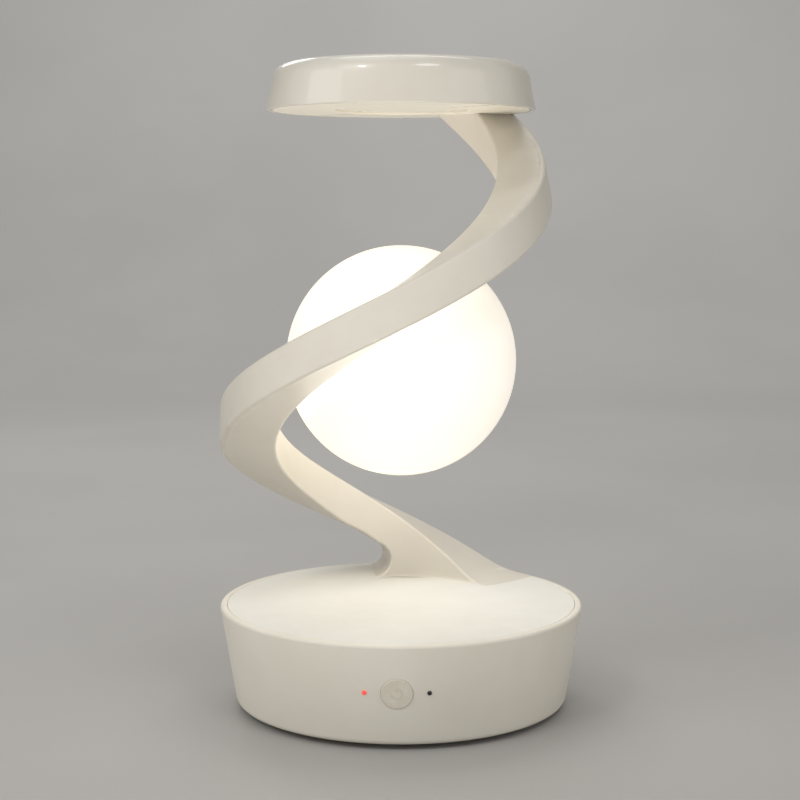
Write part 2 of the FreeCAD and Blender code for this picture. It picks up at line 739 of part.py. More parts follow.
def gap_section(angle):
    """The space under the arm, down to the middle of the round end and past both faces."""
    low_out, low_in = lower_edges(angle)
    out, into = outer_radius(low_out), inner_radius(low_in)
    slope = (low_out - low_in) / (out - into)
    past = 4.0
    inner_middle = size("gap_inner_radius + gap_lift")
    outer_middle = size("gap_outer_radius + gap_lift")
    return [(out + past, low_out + slope * past), (into - past, low_in - slope * past),
            (into - past, inner_middle), (out + past, outer_middle)]


def left_of(first, second, height):
    """Block on the left of the upright plane through two points, from the floor to a height."""
    line = (second - first).normalize() * 10.0
    aside = FreeCAD.Vector(-50, 0, 0)
    corners = [first - line, second + line, second + line + aside, first - line + aside]
    corners = [FreeCAD.Vector(corner.x, corner.y, 0) for corner in corners]
    return Part.Face(Part.makePolygon(corners + corners[:1])).extrude(FreeCAD.Vector(0, 0, height))


def gap_tools():
    """A cone for the gap's round end, the space from it to the free arm, and what is left under it."""
    inner, inner_round = gap_point("inner")
    outer, outer_round = gap_point("outer")
    axis = outer - inner
    past = 10.0
    ease = (outer_round - inner_round) / axis.Length * past
    heading = FreeCAD.Vector(axis).normalize()
    start = inner - heading * past
    cone = Part.makeCone(inner_round - ease, outer_round + ease, axis.Length + 2 * past, start, heading)
    touch_in = FreeCAD.Vector(*GAP_TOUCH_INNER, 0)
    touch_out = FreeCAD.Vector(*GAP_TOUCH_OUTER, 0)
    under = spiral_solid(gap_section, GAP_START, ARM_FOOT_END)
    return [cone, under.common(left_of(touch_in, touch_out, 200)), left_of(inner, outer, inner.z)]


def spiral_arm():
    base_top = size("base_height")
    underside = size("canopy_underside")
    seat = size("foot_seat_depth")
    tongue = Part.makeCylinder(size("foot_seat_radius"), seat, FreeCAD.Vector(0, 0, base_top - seat))
    span = slab(base_top, underside).fuse(tongue)
    foot = spiral_solid(foot_section, ARM_START, ARM_FOOT_END)
    bridge = spiral_solid(full_section, ARM_FOOT_END, ARM_CHANNEL_START)
    channel = spiral_solid(channel_section, ARM_CHANNEL_START, ARM_TIP_START)
    tip = spiral_solid(inset_section, ARM_TIP_START, ARM_END)
    arm = foot.fuse([bridge, channel, tip]).common(span)
    cuts = gap_tools()
    cuts.append(spiral_solid(lead_duct_section, DUCT_START, ARM_CHANNEL_START))
    x, y = polar(*CABLE_HOLE)
    cuts.append(drilled(3.0, x, y, base_top - 1, base_top + arm_top(DUCT_START) - 6.0))
    for radius, angle in FOOT_SCREWS:
        x, y = polar(radius, angle)
        cuts.append(drilled(1.3, x, y, base_top - 1, base_top + 6.2))
    for radius, angle in TIP_SCREWS:
        x, y = polar(radius, angle)
        cuts.append(drilled(1.05, x, y, underside - 4.2, underside + 1))
    for tool in cuts:
        arm = arm.cut(tool)
    shape_node("arm_channel", arm)
    cover = spiral_solid(cover_section, ARM_CHANNEL_START, ARM_END).common(span)
    shape_node("arm_cover", cover)
    lead = spiral_solid(lead_section, DUCT_START + 1.0, ARM_TIP_START - 2.0)
    shape_node("arm_lead", lead)


def lead_duct_section(angle):
    """Passage for the lead through the foot."""
    (r0, z0), (r1, _), (_, z1), _ = lead_section(angle)
    return [(r0 - 0.6, z0 - 0.6), (r1 + 0.6, z0 - 0.6), (r1 + 0.6, z1 + 0.6), (r0 - 0.6, z1 + 0.6)]


def arm_screws():
    lower = []
    for number, (radius, angle) in enumerate(FOOT_SCREWS):
        x, y = around(radius, angle)
        lower.append(screw("arm_foot_screw_%d" % number, "2.7", "1.8", "1.25", "7.5", x, y,
                           PLATE_BOTTOM))
    node(group("arm_foot_screws", lower))
    upper = []
    for number, (radius, angle) in enumerate(TIP_SCREWS):
        x, y = around(str(radius), str(angle))
        upper.append(screw("arm_tip_screw_%d" % number, "2", "1.5", "1", "7", x, y,
                           "canopy_underside + canopy_cover_thickness + chassis_thickness", up=False))
    node(group("arm_tip_screws", upper))


# ---- canopy ------------------------------------------------------------------------------------

CANOPY_SCREW_ANGLES = (90, 200, 320)
CHASSIS_LOW = "canopy_cover_thickness"
CHASSIS_HIGH = "canopy_cover_thickness + chassis_thickness"
CANOPY_CEILING = "canopy_height - canopy_wall"


def canopy_wall_at(height):
    share = "(%s) / canopy_height" % height
    return "canopy_radius - (canopy_radius - canopy_top_radius) * " + share


def canopy_shell():
    body = turned("canopy_shell_wall", [
        ("canopy_radius", "0"),
        ("canopy_top_radius", "canopy_height"),
        ("0", "canopy_height"),
        ("0", CANOPY_CEILING),
        (canopy_wall_at(CANOPY_CEILING) + " - canopy_wall", CANOPY_CEILING),
        (canopy_wall_at("4") + " - canopy_wall", "4"),
        ("canopy_ledge_radius", "4"),
        ("canopy_ledge_radius", "canopy_cover_thickness"),
        ("canopy_cover_radius + 0.15", "canopy_cover_thickness"),
        ("canopy_cover_radius + 0.15", "0"),
    ], "canopy_underside")
    round_edges(body, "canopy_fillet", [("canopy_top_radius", "canopy_height")])
    round_edges(body, "canopy_fillet - canopy_wall",
                [(canopy_wall_at(CANOPY_CEILING) + " - canopy_wall", CANOPY_CEILING)])
    solids = [body]
    holes = []
    for angle in CANOPY_SCREW_ANGLES:
        x, y = around("canopy_boss_circle", angle)
        solids.append(cylinder("canopy_boss_%d" % angle, "canopy_boss_radius",
                               "canopy_height - 1 - (%s)" % CHASSIS_HIGH, x, y,
                               "canopy_underside + " + CHASSIS_HIGH))
        holes.append(cylinder("canopy_boss_hole_%d" % angle, "1.1", "6", x, y,
                              "canopy_underside + " + CHASSIS_HIGH))
    node(cut("canopy_shell", fused("canopy_shell_solid", solids), holes))


def canopy_underside():
    cover = ring("canopy_cover_disc", "canopy_recess_radius", "canopy_cover_radius", "0",
                 "canopy_cover_thickness", "canopy_underside")
    chassis = ring("canopy_chassis_disc", "8", "chassis_radius", CHASSIS_LOW, CHASSIS_HIGH,
                   "canopy_underside")
    pockets = []
    passages = []
    screws = []
    for angle in CANOPY_SCREW_ANGLES:
        x, y = around("canopy_boss_circle", angle)
        pockets.append(cylinder("canopy_pocket_%d" % angle, "2.4", "2", x, y,
                                "canopy_underside + canopy_cover_thickness - 1.5"))
        passages.append(cylinder("chassis_hole_%d" % angle, "1.1", "4", x, y,
                                 "canopy_underside + 1"))
        screws.append(screw("canopy_screw_%d" % angle, "2.1", "1.3", "1", "6", x, y,
                            "canopy_underside + canopy_cover_thickness"))
    for number, (radius, angle) in enumerate(TIP_SCREWS):
        x, y = around(str(radius), str(angle))
        low = "canopy_underside - 1"
        pockets.append(cylinder("cover_tip_hole_%d" % number, "1.05", "6", x, y, low))
        passages.append(cylinder("chassis_tip_hole_%d" % number, "1.05", "6", x, y, low))
    node(cut("canopy_cover", cover, pockets))
    node(cut("canopy_chassis", chassis, passages))
    node(group("canopy_screws", screws))
    node(ring("canopy_centre_cap", "0", "canopy_recess_radius - 0.1", "canopy_recess_depth",
              "canopy_cover_thickness", "canopy_underside"))
    node(ring("hall_sensor_board", "0", "7.8", CHASSIS_LOW, CHASSIS_HIGH, "canopy_underside"))


def electromagnet():
    top = CHASSIS_HIGH + " + winding_height"
    node(ring("electromagnet_core", "0", "core_radius", CHASSIS_HIGH, top, "canopy_underside"))
    node(ring("electromagnet_winding", "core_radius + 0.2", "winding_radius", CHASSIS_HIGH, top,
              "canopy_underside"))
    node(ring("power_transmit_coil", "18", "30", CHASSIS_HIGH, CHASSIS_HIGH + " + 1.4",
              "canopy_underside"))
    node(ring("canopy_driver_board", "0", "29", top, top + " + 1.2", "canopy_underside"))


# ---- floating globe ----------------------------------------------------------------------------

def sphere_height(radius, reach):
    """Depth below the centre at which a sphere has a given reach from the axis."""
    return math.sqrt(size(radius) ** 2 - size(reach) ** 2)


def hold(sketch, kind, geometry, end, text):
    held = Sketcher.Constraint(kind, -1, 1, geometry, end, size(text))
    sketch.setExpression("Constraints[%d]" % sketch.addConstraint(held), expression(text))


def circle_arc(sketch, radius, start_degrees, end_degrees):
    """An arc about the origin of a sketch, with its radius on the sheet."""
    middle = Part.Circle(FreeCAD.Vector(), FreeCAD.Vector(0, 0, 1), size(radius))
    arc = Part.ArcOfCircle(middle, math.radians(start_degrees), math.radians(end_degrees))
    number = sketch.addGeometry(arc)
    sketch.addConstraint(Sketcher.Constraint("Coincident", number, 3, -1, 1))
    held = Sketcher.Constraint("Radius", number, size(radius))
    sketch.setExpression("Constraints[%d]" % sketch.addConstraint(held), expression(radius))
    return number


def line(sketch, x0, y0, x1, y1):
    return sketch.addGeometry(Part.LineSegment(FreeCAD.Vector(x0, y0, 0), FreeCAD.Vector(x1, y1, 0)))


def join(sketch, first, first_end, second, second_end):
    sketch.addConstraint(Sketcher.Constraint("Coincident", first, first_end, second, second_end))


def turned_sketch(label):
    body = doc.addObject("PartDesign::Body", label)
    sketch = body.newObject("Sketcher::SketchObject", label + "_outline")
    sketch.AttachmentSupport = (plane(body, "XZ_Plane"), [""])
    sketch.MapMode = "FlatFace"
    return body, sketch


def turn_sketch(body, sketch, z):
    turn = body.newObject("PartDesign::Revolution", body.Name + "_turn")
    turn.Profile = sketch
    turn.ReferenceAxis = (sketch, ["V_Axis"])
    turn.Angle = 360
    place(body, z=z)
    return node(body)


def globe_shell():
    outer, inner = size("globe_radius"), size("globe_radius - globe_wall")
    mouth, lip, seat = size("globe_mouth"), size("globe_mouth - globe_step"), -size("globe_seat")
    low_out = -sphere_height("globe_radius", "globe_mouth")
    low_in = -sphere_height("globe_radius - globe_wall", "globe_mouth - globe_step")
    body, sketch = turned_sketch("globe_shell")
    outside = circle_arc(sketch, "globe_radius", math.degrees(math.atan2(low_out, mouth)), 90)
    wall = line(sketch, mouth, low_out, mouth, seat)
    ledge = line(sketch, mouth, seat, lip, seat)
    step = line(sketch, lip, seat, lip, low_in)
    inside = circle_arc(sketch, "globe_radius - globe_wall",
                        math.degrees(math.atan2(low_in, lip)), 90)
    pole = line(sketch, 0, inner, 0, outer)
    join(sketch, outside, 1, wall, 1)
    join(sketch, wall, 2, ledge, 1)
    join(sketch, ledge, 2, step, 1)
    join(sketch, step, 2, inside, 1)
    join(sketch, inside, 2, pole, 1)
    join(sketch, pole, 2, outside, 2)
    sketch.addConstraint(Sketcher.Constraint("PointOnObject", pole, 1, -2))
    sketch.addConstraint(Sketcher.Constraint("PointOnObject", pole, 2, -2))
    sketch.addConstraint(Sketcher.Constraint("Vertical", wall))
    sketch.addConstraint(Sketcher.Constraint("Horizontal", ledge))
    sketch.addConstraint(Sketcher.Constraint("Vertical", step))
    hold(sketch, "DistanceX", wall, 2, "globe_mouth")
    hold(sketch, "DistanceY", wall, 2, "-globe_seat")
    hold(sketch, "DistanceX", step, 1, "globe_mouth - globe_step")
    turn_sketch(body, sketch, "globe_centre")


def globe_cap():
    radius, reach = "globe_radius", "globe_mouth - 0.05"
    edge, low = size(reach), -sphere_height(radius, reach)
    seat, floor, spigot = -size("globe_seat"), -size("globe_floor"), size("globe_mouth - globe_step - 0.05")
    body, sketch = turned_sketch("globe_cap")
    outside = circle_arc(sketch, radius, -90, math.degrees(math.atan2(low, edge)))
    wall = line(sketch, edge, low, edge, seat)
    ledge = line(sketch, edge, seat, spigot, seat)
    side = line(sketch, spigot, seat, spigot, floor)
    top = line(sketch, spigot, floor, 0, floor)
    pole = line(sketch, 0, floor, 0, -size(radius))
    join(sketch, outside, 2, wall, 1)
    join(sketch, wall, 2, ledge, 1)
    join(sketch, ledge, 2, side, 1)
    join(sketch, side, 2, top, 1)
    join(sketch, top, 2, pole, 1)
    join(sketch, pole, 2, outside, 1)
    sketch.addConstraint(Sketcher.Constraint("PointOnObject", pole, 1, -2))
    sketch.addConstraint(Sketcher.Constraint("PointOnObject", pole, 2, -2))
    for upright in (wall, side):
        sketch.addConstraint(Sketcher.Constraint("Vertical", upright))
    for level in (ledge, top):
        sketch.addConstraint(Sketcher.Constraint("Horizontal", level))
    hold(sketch, "DistanceX", wall, 2, reach)
    hold(sketch, "DistanceY", wall, 2, "-globe_seat")
    hold(sketch, "DistanceX", side, 1, "globe_mouth - globe_step - 0.05")
    hold(sketch, "DistanceY", side, 2, "-globe_floor")
    turn_sketch(body, sketch, "globe_centre")


def globe_inside():
    centre = "globe_centre"
    node(turned("globe_post", [
        ("0", "-globe_floor"),
        ("12", "-globe_floor"),
        ("12", "-36.5"),
        ("4", "-36.5"),
        ("4", "-8"),
        ("7", "-8"),
        ("7", "-6"),
        ("3.6", "-6"),
        ("3.6", "20"),
        ("20", "20"),
        ("20", "21.5"),
        ("0", "21.5"),
    ], centre))
    node(ring("globe_led_board", "3.65", "20", "-6", "-4.8", centre))
    chips = []
    for index in range(8):
        x, y = around("15", 45 * index)
        chips.append(block("globe_led_%d" % index, "3.5", "3.5", "0.8", x, y, centre + " - 4.8"))
    node(group("globe_leds", chips))
    node(ring("power_receive_coil", "9.5", "19", "21.5", "22.9", centre))
    node(turned("magnet_holder", [
        ("0", "21.5"),
        ("8.5", "21.5"),
        ("8.5", "23.5"),
        ("6", "23.5"),
        ("6", "27.5"),
        ("magnet_radius + 1.5", "27.5"),
        ("magnet_radius + 1.5", "34"),
        ("magnet_radius + 0.1", "34"),
        ("magnet_radius + 0.1", "29"),
        ("0", "29"),
    ], centre))
    node(ring("globe_magnet", "0", "magnet_radius", "29", "29 + magnet_height", centre))


# ---- build and write ---------------------------------------------------------------------------

def check_document():
    for item in doc.Objects:
        if "Invalid" in item.State or "Error" in item.State:
            raise RuntimeError("%s failed: %s" % (item.Label, item.State))
    for piece in NODES:
        if piece.Shape.isNull() or not piece.Shape.isValid():
            raise RuntimeError("bad shape: " + piece.Label)


def write_parts():
    os.makedirs("parts", exist_ok=True)
    for piece in NODES:
        piece.Shape.exportStep("parts/%s.step" % piece.Label)


base_shell()
top_plate()
base_cover()
main_board()
power_port()
charging_coil()
front_controls()
spiral_arm()
arm_screws()
canopy_shell()
canopy_underside()
electromagnet()
globe_shell()
globe_cap()
globe_inside()
doc.recompute()
check_document()
write_parts()
print("%d pieces" % len(NODES))
for finished in NODES:
    box = finished.Shape.BoundBox
    print("%-22s solids %d volume %9.1f  x %.1f %.1f  y %.1f %.1f  z %.1f %.1f" % (
        finished.Label, len(finished.Shape.Solids), finished.Shape.Volume,
        box.XMin, box.XMax, box.YMin, box.YMax, box.ZMin, box.ZMax))
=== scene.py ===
import json
import math

import bmesh
import bpy
from mathutils import Matrix, Vector


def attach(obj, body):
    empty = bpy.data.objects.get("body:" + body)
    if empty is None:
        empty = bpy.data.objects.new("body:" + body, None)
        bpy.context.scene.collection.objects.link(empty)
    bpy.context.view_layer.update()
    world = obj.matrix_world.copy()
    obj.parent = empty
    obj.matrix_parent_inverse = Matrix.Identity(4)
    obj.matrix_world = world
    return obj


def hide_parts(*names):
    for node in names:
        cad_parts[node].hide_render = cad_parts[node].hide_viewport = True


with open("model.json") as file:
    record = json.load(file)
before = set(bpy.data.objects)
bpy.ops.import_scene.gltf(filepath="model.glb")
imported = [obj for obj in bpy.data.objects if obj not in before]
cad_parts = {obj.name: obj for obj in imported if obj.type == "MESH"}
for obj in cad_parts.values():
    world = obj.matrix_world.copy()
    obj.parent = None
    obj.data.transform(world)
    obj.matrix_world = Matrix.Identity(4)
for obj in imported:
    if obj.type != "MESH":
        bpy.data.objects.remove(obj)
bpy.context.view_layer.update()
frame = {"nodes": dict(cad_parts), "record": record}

MM = 0.001
FINE_ROUND = 384
ROUND = 192
BUTTON_ROUND = 96
SMALL_ROUND = 64
MERGE = 0.004 * MM
CUT_MERGE = 1e-7
LEVEL = 1e-6
AXIS_RADIUS = 0.001
SMOOTH_ANGLE = 32
GLOBE_SMOOTH_ANGLE = 40

# ---- camera, in metres and millimetres of film --------------------------------------------------

CAMERA_PLACE = (0.0140, -0.63525, 0.1897)
CAMERA_TILT = math.radians(90 - 6.46)
CAMERA_TURN = math.radians(1.3)
CAMERA_LENS = 74.99
CAMERA_FILM = 36.0
CAMERA_NEAR = 0.01

camera_data = bpy.data.cameras.new("studio_camera")
camera_data.lens = CAMERA_LENS
camera_data.sensor_width = CAMERA_FILM
camera_data.clip_start = CAMERA_NEAR
camera = bpy.data.objects.new("studio_camera", camera_data)
camera.location = CAMERA_PLACE
camera.rotation_euler = (CAMERA_TILT, 0.0, CAMERA_TURN)
bpy.context.scene.collection.objects.link(camera)
bpy.context.scene.camera = camera
bpy.context.scene.view_settings.view_transform = "Standard"

# ---- sizes of the lamp, in millimetres ----------------------------------------------------------

RIM_RADIUS = 70.0
HEM_RADIUS = 63.8
HEM_HEIGHT = 2.0
BASE_TOP = 39.6
BASE_WALL = 2.4
SHELL_INSIDE_TOP = 33.0
TOP_RADIUS = 67.2
TOP_THICKNESS = 2.0
TOP_SEAM = 0.08
LEDGE_RADIUS = 64.6
COVER_RADIUS = 61.2
COVER_TOP = 4.0
FOOT_INNER = 47.0
FOOT_OUTER = 53.0
FOOT_TOP = 2.6
FOOT_GROOVE = 50.0
FOOT_GROOVE_DEPTH = 0.45
COVER_LINE = 40.0
COVER_LINE_DEPTH = 0.3
SCREW_CIRCLE = 57.4
SCREW_COUNT = 4
SCREW_HEAD = 2.5
SCREW_SHANK = 1.45
SCREW_TOP = 11.0
SCREW_SLOT = (2.7, 0.6)
SINK_TOP = 3.2
CONTROL_HEIGHT = 21.7
BUTTON_RADIUS = 5.7
BUTTON_FLANGE = 7.0
BUTTON_BACK = -3.4
BUTTON_GAP = 0.1
MARK_RADIUS = 1.9
MARK_WIDTH = 0.42
MARK_OPENING = 60
PIPE_PITCH = 11.5
PIPE_RADIUS = 0.8
PIPE_GAP = 0.05
PIPE_BACK = -4.0
HOLE_REACH = (-4.0, 2.0)
PORT_HEIGHT = 16.23
PORT_MOUTH = 65.6
PORT_HALF_WIDTH = 4.47
PORT_HALF_HEIGHT = 1.63
PORT_WALL = 0.3
CANOPY_UNDERSIDE = 227.3
CANOPY_TOP = 244.6
CANOPY_RIM = 50.6
CANOPY_SHOULDER = 47.4
CANOPY_ROUNDING = 7.0
CANOPY_COVER_RADIUS = 48.45
CANOPY_WINDOW = 25.0
CANOPY_RECESS = 0.8
CANOPY_WALL = 2.0
CANOPY_INSIDE = 46.8
GLOBE_RADIUS = 43.9
GLOBE_WALL = 2.0
GLOBE_HEIGHT = 133.0
GLOBE_MOUTH = 17.0
GLOBE_CAP_DEPTH = 38.0

TAPER = math.atan2(RIM_RADIUS - HEM_RADIUS, BASE_TOP - HEM_HEIGHT)


def wall_radius(height):
    """Outer radius of the base wall at a height."""
    return HEM_RADIUS + (height - HEM_HEIGHT) * math.tan(TAPER)


# ---- ways of working ----------------------------------------------------------------------------

def release():
    """Leave edit mode with nothing selected."""
    if bpy.context.object and bpy.context.object.mode != "OBJECT":
        bpy.ops.object.mode_set(mode="OBJECT")
    bpy.ops.object.select_all(action="DESELECT")


def take(piece):
    """Select one piece alone."""
    release()
    piece.select_set(True)
    bpy.context.view_layer.objects.active = piece
    return piece


def open_up(piece, kind="VERT"):
    """Start editing a piece with nothing selected in it."""
    take(piece)
    bpy.ops.object.mode_set(mode="EDIT")
    bpy.ops.mesh.select_mode(type=kind)
    bpy.ops.mesh.select_all(action="DESELECT")


def close_up(piece, name=None):
    """Merge doubles, turn faces outwards, settle the piece at the origin."""
    open_up(piece)
    bpy.ops.mesh.select_all(action="SELECT")
    bpy.ops.mesh.remove_doubles(threshold=MERGE)
    bpy.ops.mesh.normals_make_consistent(inside=False)
    bpy.ops.object.mode_set(mode="OBJECT")
    bpy.ops.object.transform_apply(location=True, rotation=True, scale=True)
    if name:
        piece.name = name
        piece.data.name = name
    return piece


def pick(piece, kind, wanted):
    """Select the vertices, edges or faces of an open piece that pass a test."""
    mesh = bmesh.from_edit_mesh(piece.data)
    found = {"VERT": mesh.verts, "EDGE": mesh.edges, "FACE": mesh.faces}[kind]
    for item in found:
        item.select_set(bool(wanted(item)))
    mesh.select_flush_mode()
    bmesh.update_edit_mesh(piece.data)


def rounded(outline, steps=5, guard=0.3):
    """Round the corners that carry a radius, and guard each curve with a point beyond its ends."""
    path = []
    count = len(outline)
    for number, corner in enumerate(outline):
        here = Vector(corner[:2])
        if len(corner) == 2:
            path.append(tuple(here))
            continue
        radius = corner[2]
        back = (Vector(outline[number - 1][:2]) - here).normalized()
        on = (Vector(outline[(number + 1) % count][:2]) - here).normalized()
        half = back.angle(on) / 2
        reach = radius / math.tan(half)
        middle = here + (back + on).normalized() * (radius / math.sin(half))
        first = here + back * reach - middle
        turn = first.angle_signed(here + on * reach - middle)
        path.append(tuple(middle + first + back * radius * guard))
        for step in range(steps + 1):
            spoke = first.copy()
            spoke.rotate(Matrix.Rotation(-turn * step / steps, 2))
            path.append(tuple(middle + spoke))
        path.append(tuple(here + on * (reach + radius * guard)))
    return path


def turned(name, outline, sides=ROUND):
    """Turn a closed outline of (radius, height) points about the upright axis, ring by ring."""
    release()
    points = [(max(radius, AXIS_RADIUS), height) for radius, height in outline]
    radius, height = points[0]
    bpy.ops.mesh.primitive_circle_add(vertices=sides, radius=radius * MM, location=(0, 0, height * MM))
    piece = bpy.context.object
    bpy.ops.object.transform_apply(location=True, rotation=True, scale=True)
    bpy.ops.object.mode_set(mode="EDIT")
    bpy.ops.mesh.select_mode(type="EDGE")
    bpy.ops.mesh.select_all(action="SELECT")
    for next_radius, next_height in points[1:] + points[:1]:
        rise = (0.0, 0.0, (next_height - height) * MM)
        bpy.ops.mesh.extrude_edges_move(TRANSFORM_OT_translate={"value": rise})
        factor = next_radius / radius
        middle = (0.0, 0.0, next_height * MM)
        bpy.ops.transform.resize(value=(factor, factor, 1.0), center_override=middle)
        radius, height = next_radius, next_height
    return close_up(piece, name)


def flat_shape(name, points):
    """A flat face in the XZ plane whose corners are moved to (x, z) points."""
    release()
    bpy.ops.mesh.primitive_circle_add(vertices=len(points), radius=1.0, fill_type="NGON")
    piece = bpy.context.object
    for corner, (x, z) in zip(piece.data.vertices, points):
        corner.co = (x, 0.0, z)
    piece.name = name
    piece.data.name = name
    return piece


def raised(name, points, low, high):
    """A block whose outline of (x, y) points is raised from one height to another."""
    release()
    bpy.ops.mesh.primitive_circle_add(vertices=len(points), radius=1.0, fill_type="NGON")
    piece = bpy.context.object
    for corner, (x, y) in zip(piece.data.vertices, points):
        corner.co = (x * MM, y * MM, low * MM)
    open_up(piece, "FACE")
    bpy.ops.mesh.select_all(action="SELECT")
    lift = (0.0, 0.0, (high - low) * MM)
    bpy.ops.mesh.extrude_region_move(TRANSFORM_OT_translate={"value": lift})
    return close_up(piece, name)


def moved(piece, matrix):
    """Put a piece through a placement and settle it at the origin again."""
    take(piece)
    piece.matrix_world = matrix
    bpy.context.view_layer.update()
    bpy.ops.object.transform_apply(location=True, rotation=True, scale=True)
    return piece


def carved(piece, *tools, operation="DIFFERENCE"):
    """Cut tools out of a piece, or add them to it, and clear them away."""
    for tool in tools:
        take(piece)
        cutter = piece.modifiers.new("carve", "BOOLEAN")
        cutter.operation = operation
        cutter.solver = "EXACT"
        cutter.object = tool
        bpy.ops.object.modifier_apply(modifier=cutter.name)
        bpy.data.objects.remove(tool, do_unlink=True)
    return piece


def doubled(piece, name):
    """A copy with a mesh of its own."""
    copy = piece.copy()
    copy.data = piece.data.copy()
    copy.name = name
    copy.data.name = name
    bpy.context.scene.collection.objects.link(copy)
    return copy


def joined(name, pieces):
    """Join pieces into one."""
    release()
    for piece in pieces:
        piece.select_set(True)
    bpy.context.view_layer.objects.active = pieces[0]
    bpy.ops.object.join()
    pieces[0].name = name
    pieces[0].data.name = name
    return pieces[0]


def smooth(piece, degrees=SMOOTH_ANGLE):
    """Smooth shading that keeps edges sharper than an angle."""
    take(piece)
    bpy.ops.object.shade_smooth_by_angle(angle=math.radians(degrees))
    return piece


def settled(piece, finish, body, slot, *replaced, degrees=SMOOTH_ANGLE):
    """Give a piece its finish and its body, and hide the nodes that it stands for; the slot is not used."""
    smooth(piece, degrees)
    piece.data.materials.clear()
    piece.data.materials.append(finish)
    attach(piece, body)
    if replaced:
        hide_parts(*replaced)
    return piece


# ---- effects shared by the finishes -------------------------------------------------------------

def colour(red, green, blue):
    """A colour from 0 to 255 as linear light."""
    def linear(value):
        part = value / 255.0
        return part / 12.92 if part <= 0.04045 else ((part + 0.055) / 1.055) ** 2.4
    return (linear(red), linear(green), linear(blue), 1.0)


def new_effect(name, numbers, outputs):
    """A node group with a Vector input, number inputs and float outputs."""
    group = bpy.data.node_groups.new(name, "ShaderNodeTree")
    group.interface.new_socket("Vector", in_out="INPUT", socket_type="NodeSocketVector")
    for label, value in numbers:
        socket = group.interface.new_socket(label, in_out="INPUT", socket_type="NodeSocketFloat")
        socket.default_value = value
    for label in outputs:
        group.interface.new_socket(label, in_out="OUTPUT", socket_type="NodeSocketFloat")
    return group, group.nodes.new("NodeGroupInput"), group.nodes.new("NodeGroupOutput")


def math_step(tree, operation, first, second, third=None):
    """A Math node with links or numbers on its inputs."""
    step = tree.nodes.new("ShaderNodeMath")
    step.operation = operation
    for number, value in enumerate((first, second, third)):
        if value is None:
            continue
        if isinstance(value, bpy.types.NodeSocket):
            tree.links.new(value, step.inputs[number])
        else:
            step.inputs[number].default_value = value
    return step.outputs[0]


def noise(tree, vector, scale, detail=3.0, roughness=0.55):
    """Cloudy noise from 0 to 1 at a scale given as a number or a socket."""
    cloud = tree.nodes.new("ShaderNodeTexNoise")
    cloud.inputs["Detail"].default_value = detail
    cloud.inputs["Roughness"].default_value = roughness
    tree.links.new(vector, cloud.inputs["Vector"])
    if isinstance(scale, bpy.types.NodeSocket):
        tree.links.new(scale, cloud.inputs["Scale"])
    else:
        cloud.inputs["Scale"].default_value = scale
    return cloud.outputs["Fac"]


def ramp(tree, value, low, high):
    """Stretch a range of values to 0..1."""
    spread = tree.nodes.new("ShaderNodeMapRange")
    spread.interpolation_type = "SMOOTHSTEP"
    spread.inputs["From Min"].default_value = low
    spread.inputs["From Max"].default_value = high
    tree.links.new(value, spread.inputs["Value"])
    return spread.outputs["Result"]


def moulded_grain():
    """Fine spark-eroded grain, slow mottle of the resin and soft polish marks."""
    group, given, out = new_effect(
        "moulded_grain",
        [("Grain Scale", 2600.0), ("Mottle Scale", 28.0), ("Polish Scale", 90.0)],
        ["Grain", "Mottle", "Polish"],
    )
    vector = given.outputs["Vector"]
    cells = group.nodes.new("ShaderNodeTexVoronoi")
    cells.feature = "SMOOTH_F1"
    cells.inputs["Smoothness"].default_value = 0.6
    group.links.new(vector, cells.inputs["Vector"])
    group.links.new(given.outputs["Grain Scale"], cells.inputs["Scale"])
    fine = noise(group, vector, given.outputs["Grain Scale"], 2.0, 0.5)
    grain = math_step(group, "MULTIPLY_ADD", cells.outputs["Distance"], 0.6, fine)
    group.links.new(grain, out.inputs["Grain"])
    mottle = ramp(group, noise(group, vector, given.outputs["Mottle Scale"], 4.0, 0.6), 0.3, 0.7)
    group.links.new(mottle, out.inputs["Mottle"])
    polish = ramp(group, noise(group, vector, given.outputs["Polish Scale"], 5.0, 0.65), 0.42, 0.68)
    group.links.new(polish, out.inputs["Polish"])
    return group


def settled_dust():
    """Dust that lies on faces that look up, in soft drifts."""
    group, given, out = new_effect(
        "settled_dust",
        [("Amount", 0.2), ("Drift Scale", 60.0), ("Speck Scale", 900.0)],
        ["Dust"],
    )
    vector = given.outputs["Vector"]
    surface = group.nodes.new("ShaderNodeNewGeometry")
    split = group.nodes.new("ShaderNodeSeparateXYZ")
    group.links.new(surface.outputs["Normal"], split.inputs[0])
    upward = ramp(group, split.outputs["Z"], 0.35, 0.95)
    drift = ramp(group, noise(group, vector, given.outputs["Drift Scale"], 4.0, 0.6), 0.35, 0.75)
    speck = ramp(group, noise(group, vector, given.outputs["Speck Scale"], 2.0, 0.5), 0.6, 0.78)
    mixed = math_step(group, "MULTIPLY_ADD", speck, 0.5, drift)
    lying = math_step(group, "MULTIPLY", mixed, upward)
    group.links.new(math_step(group, "MULTIPLY", lying, given.outputs["Amount"]), out.inputs["Dust"])
    return group


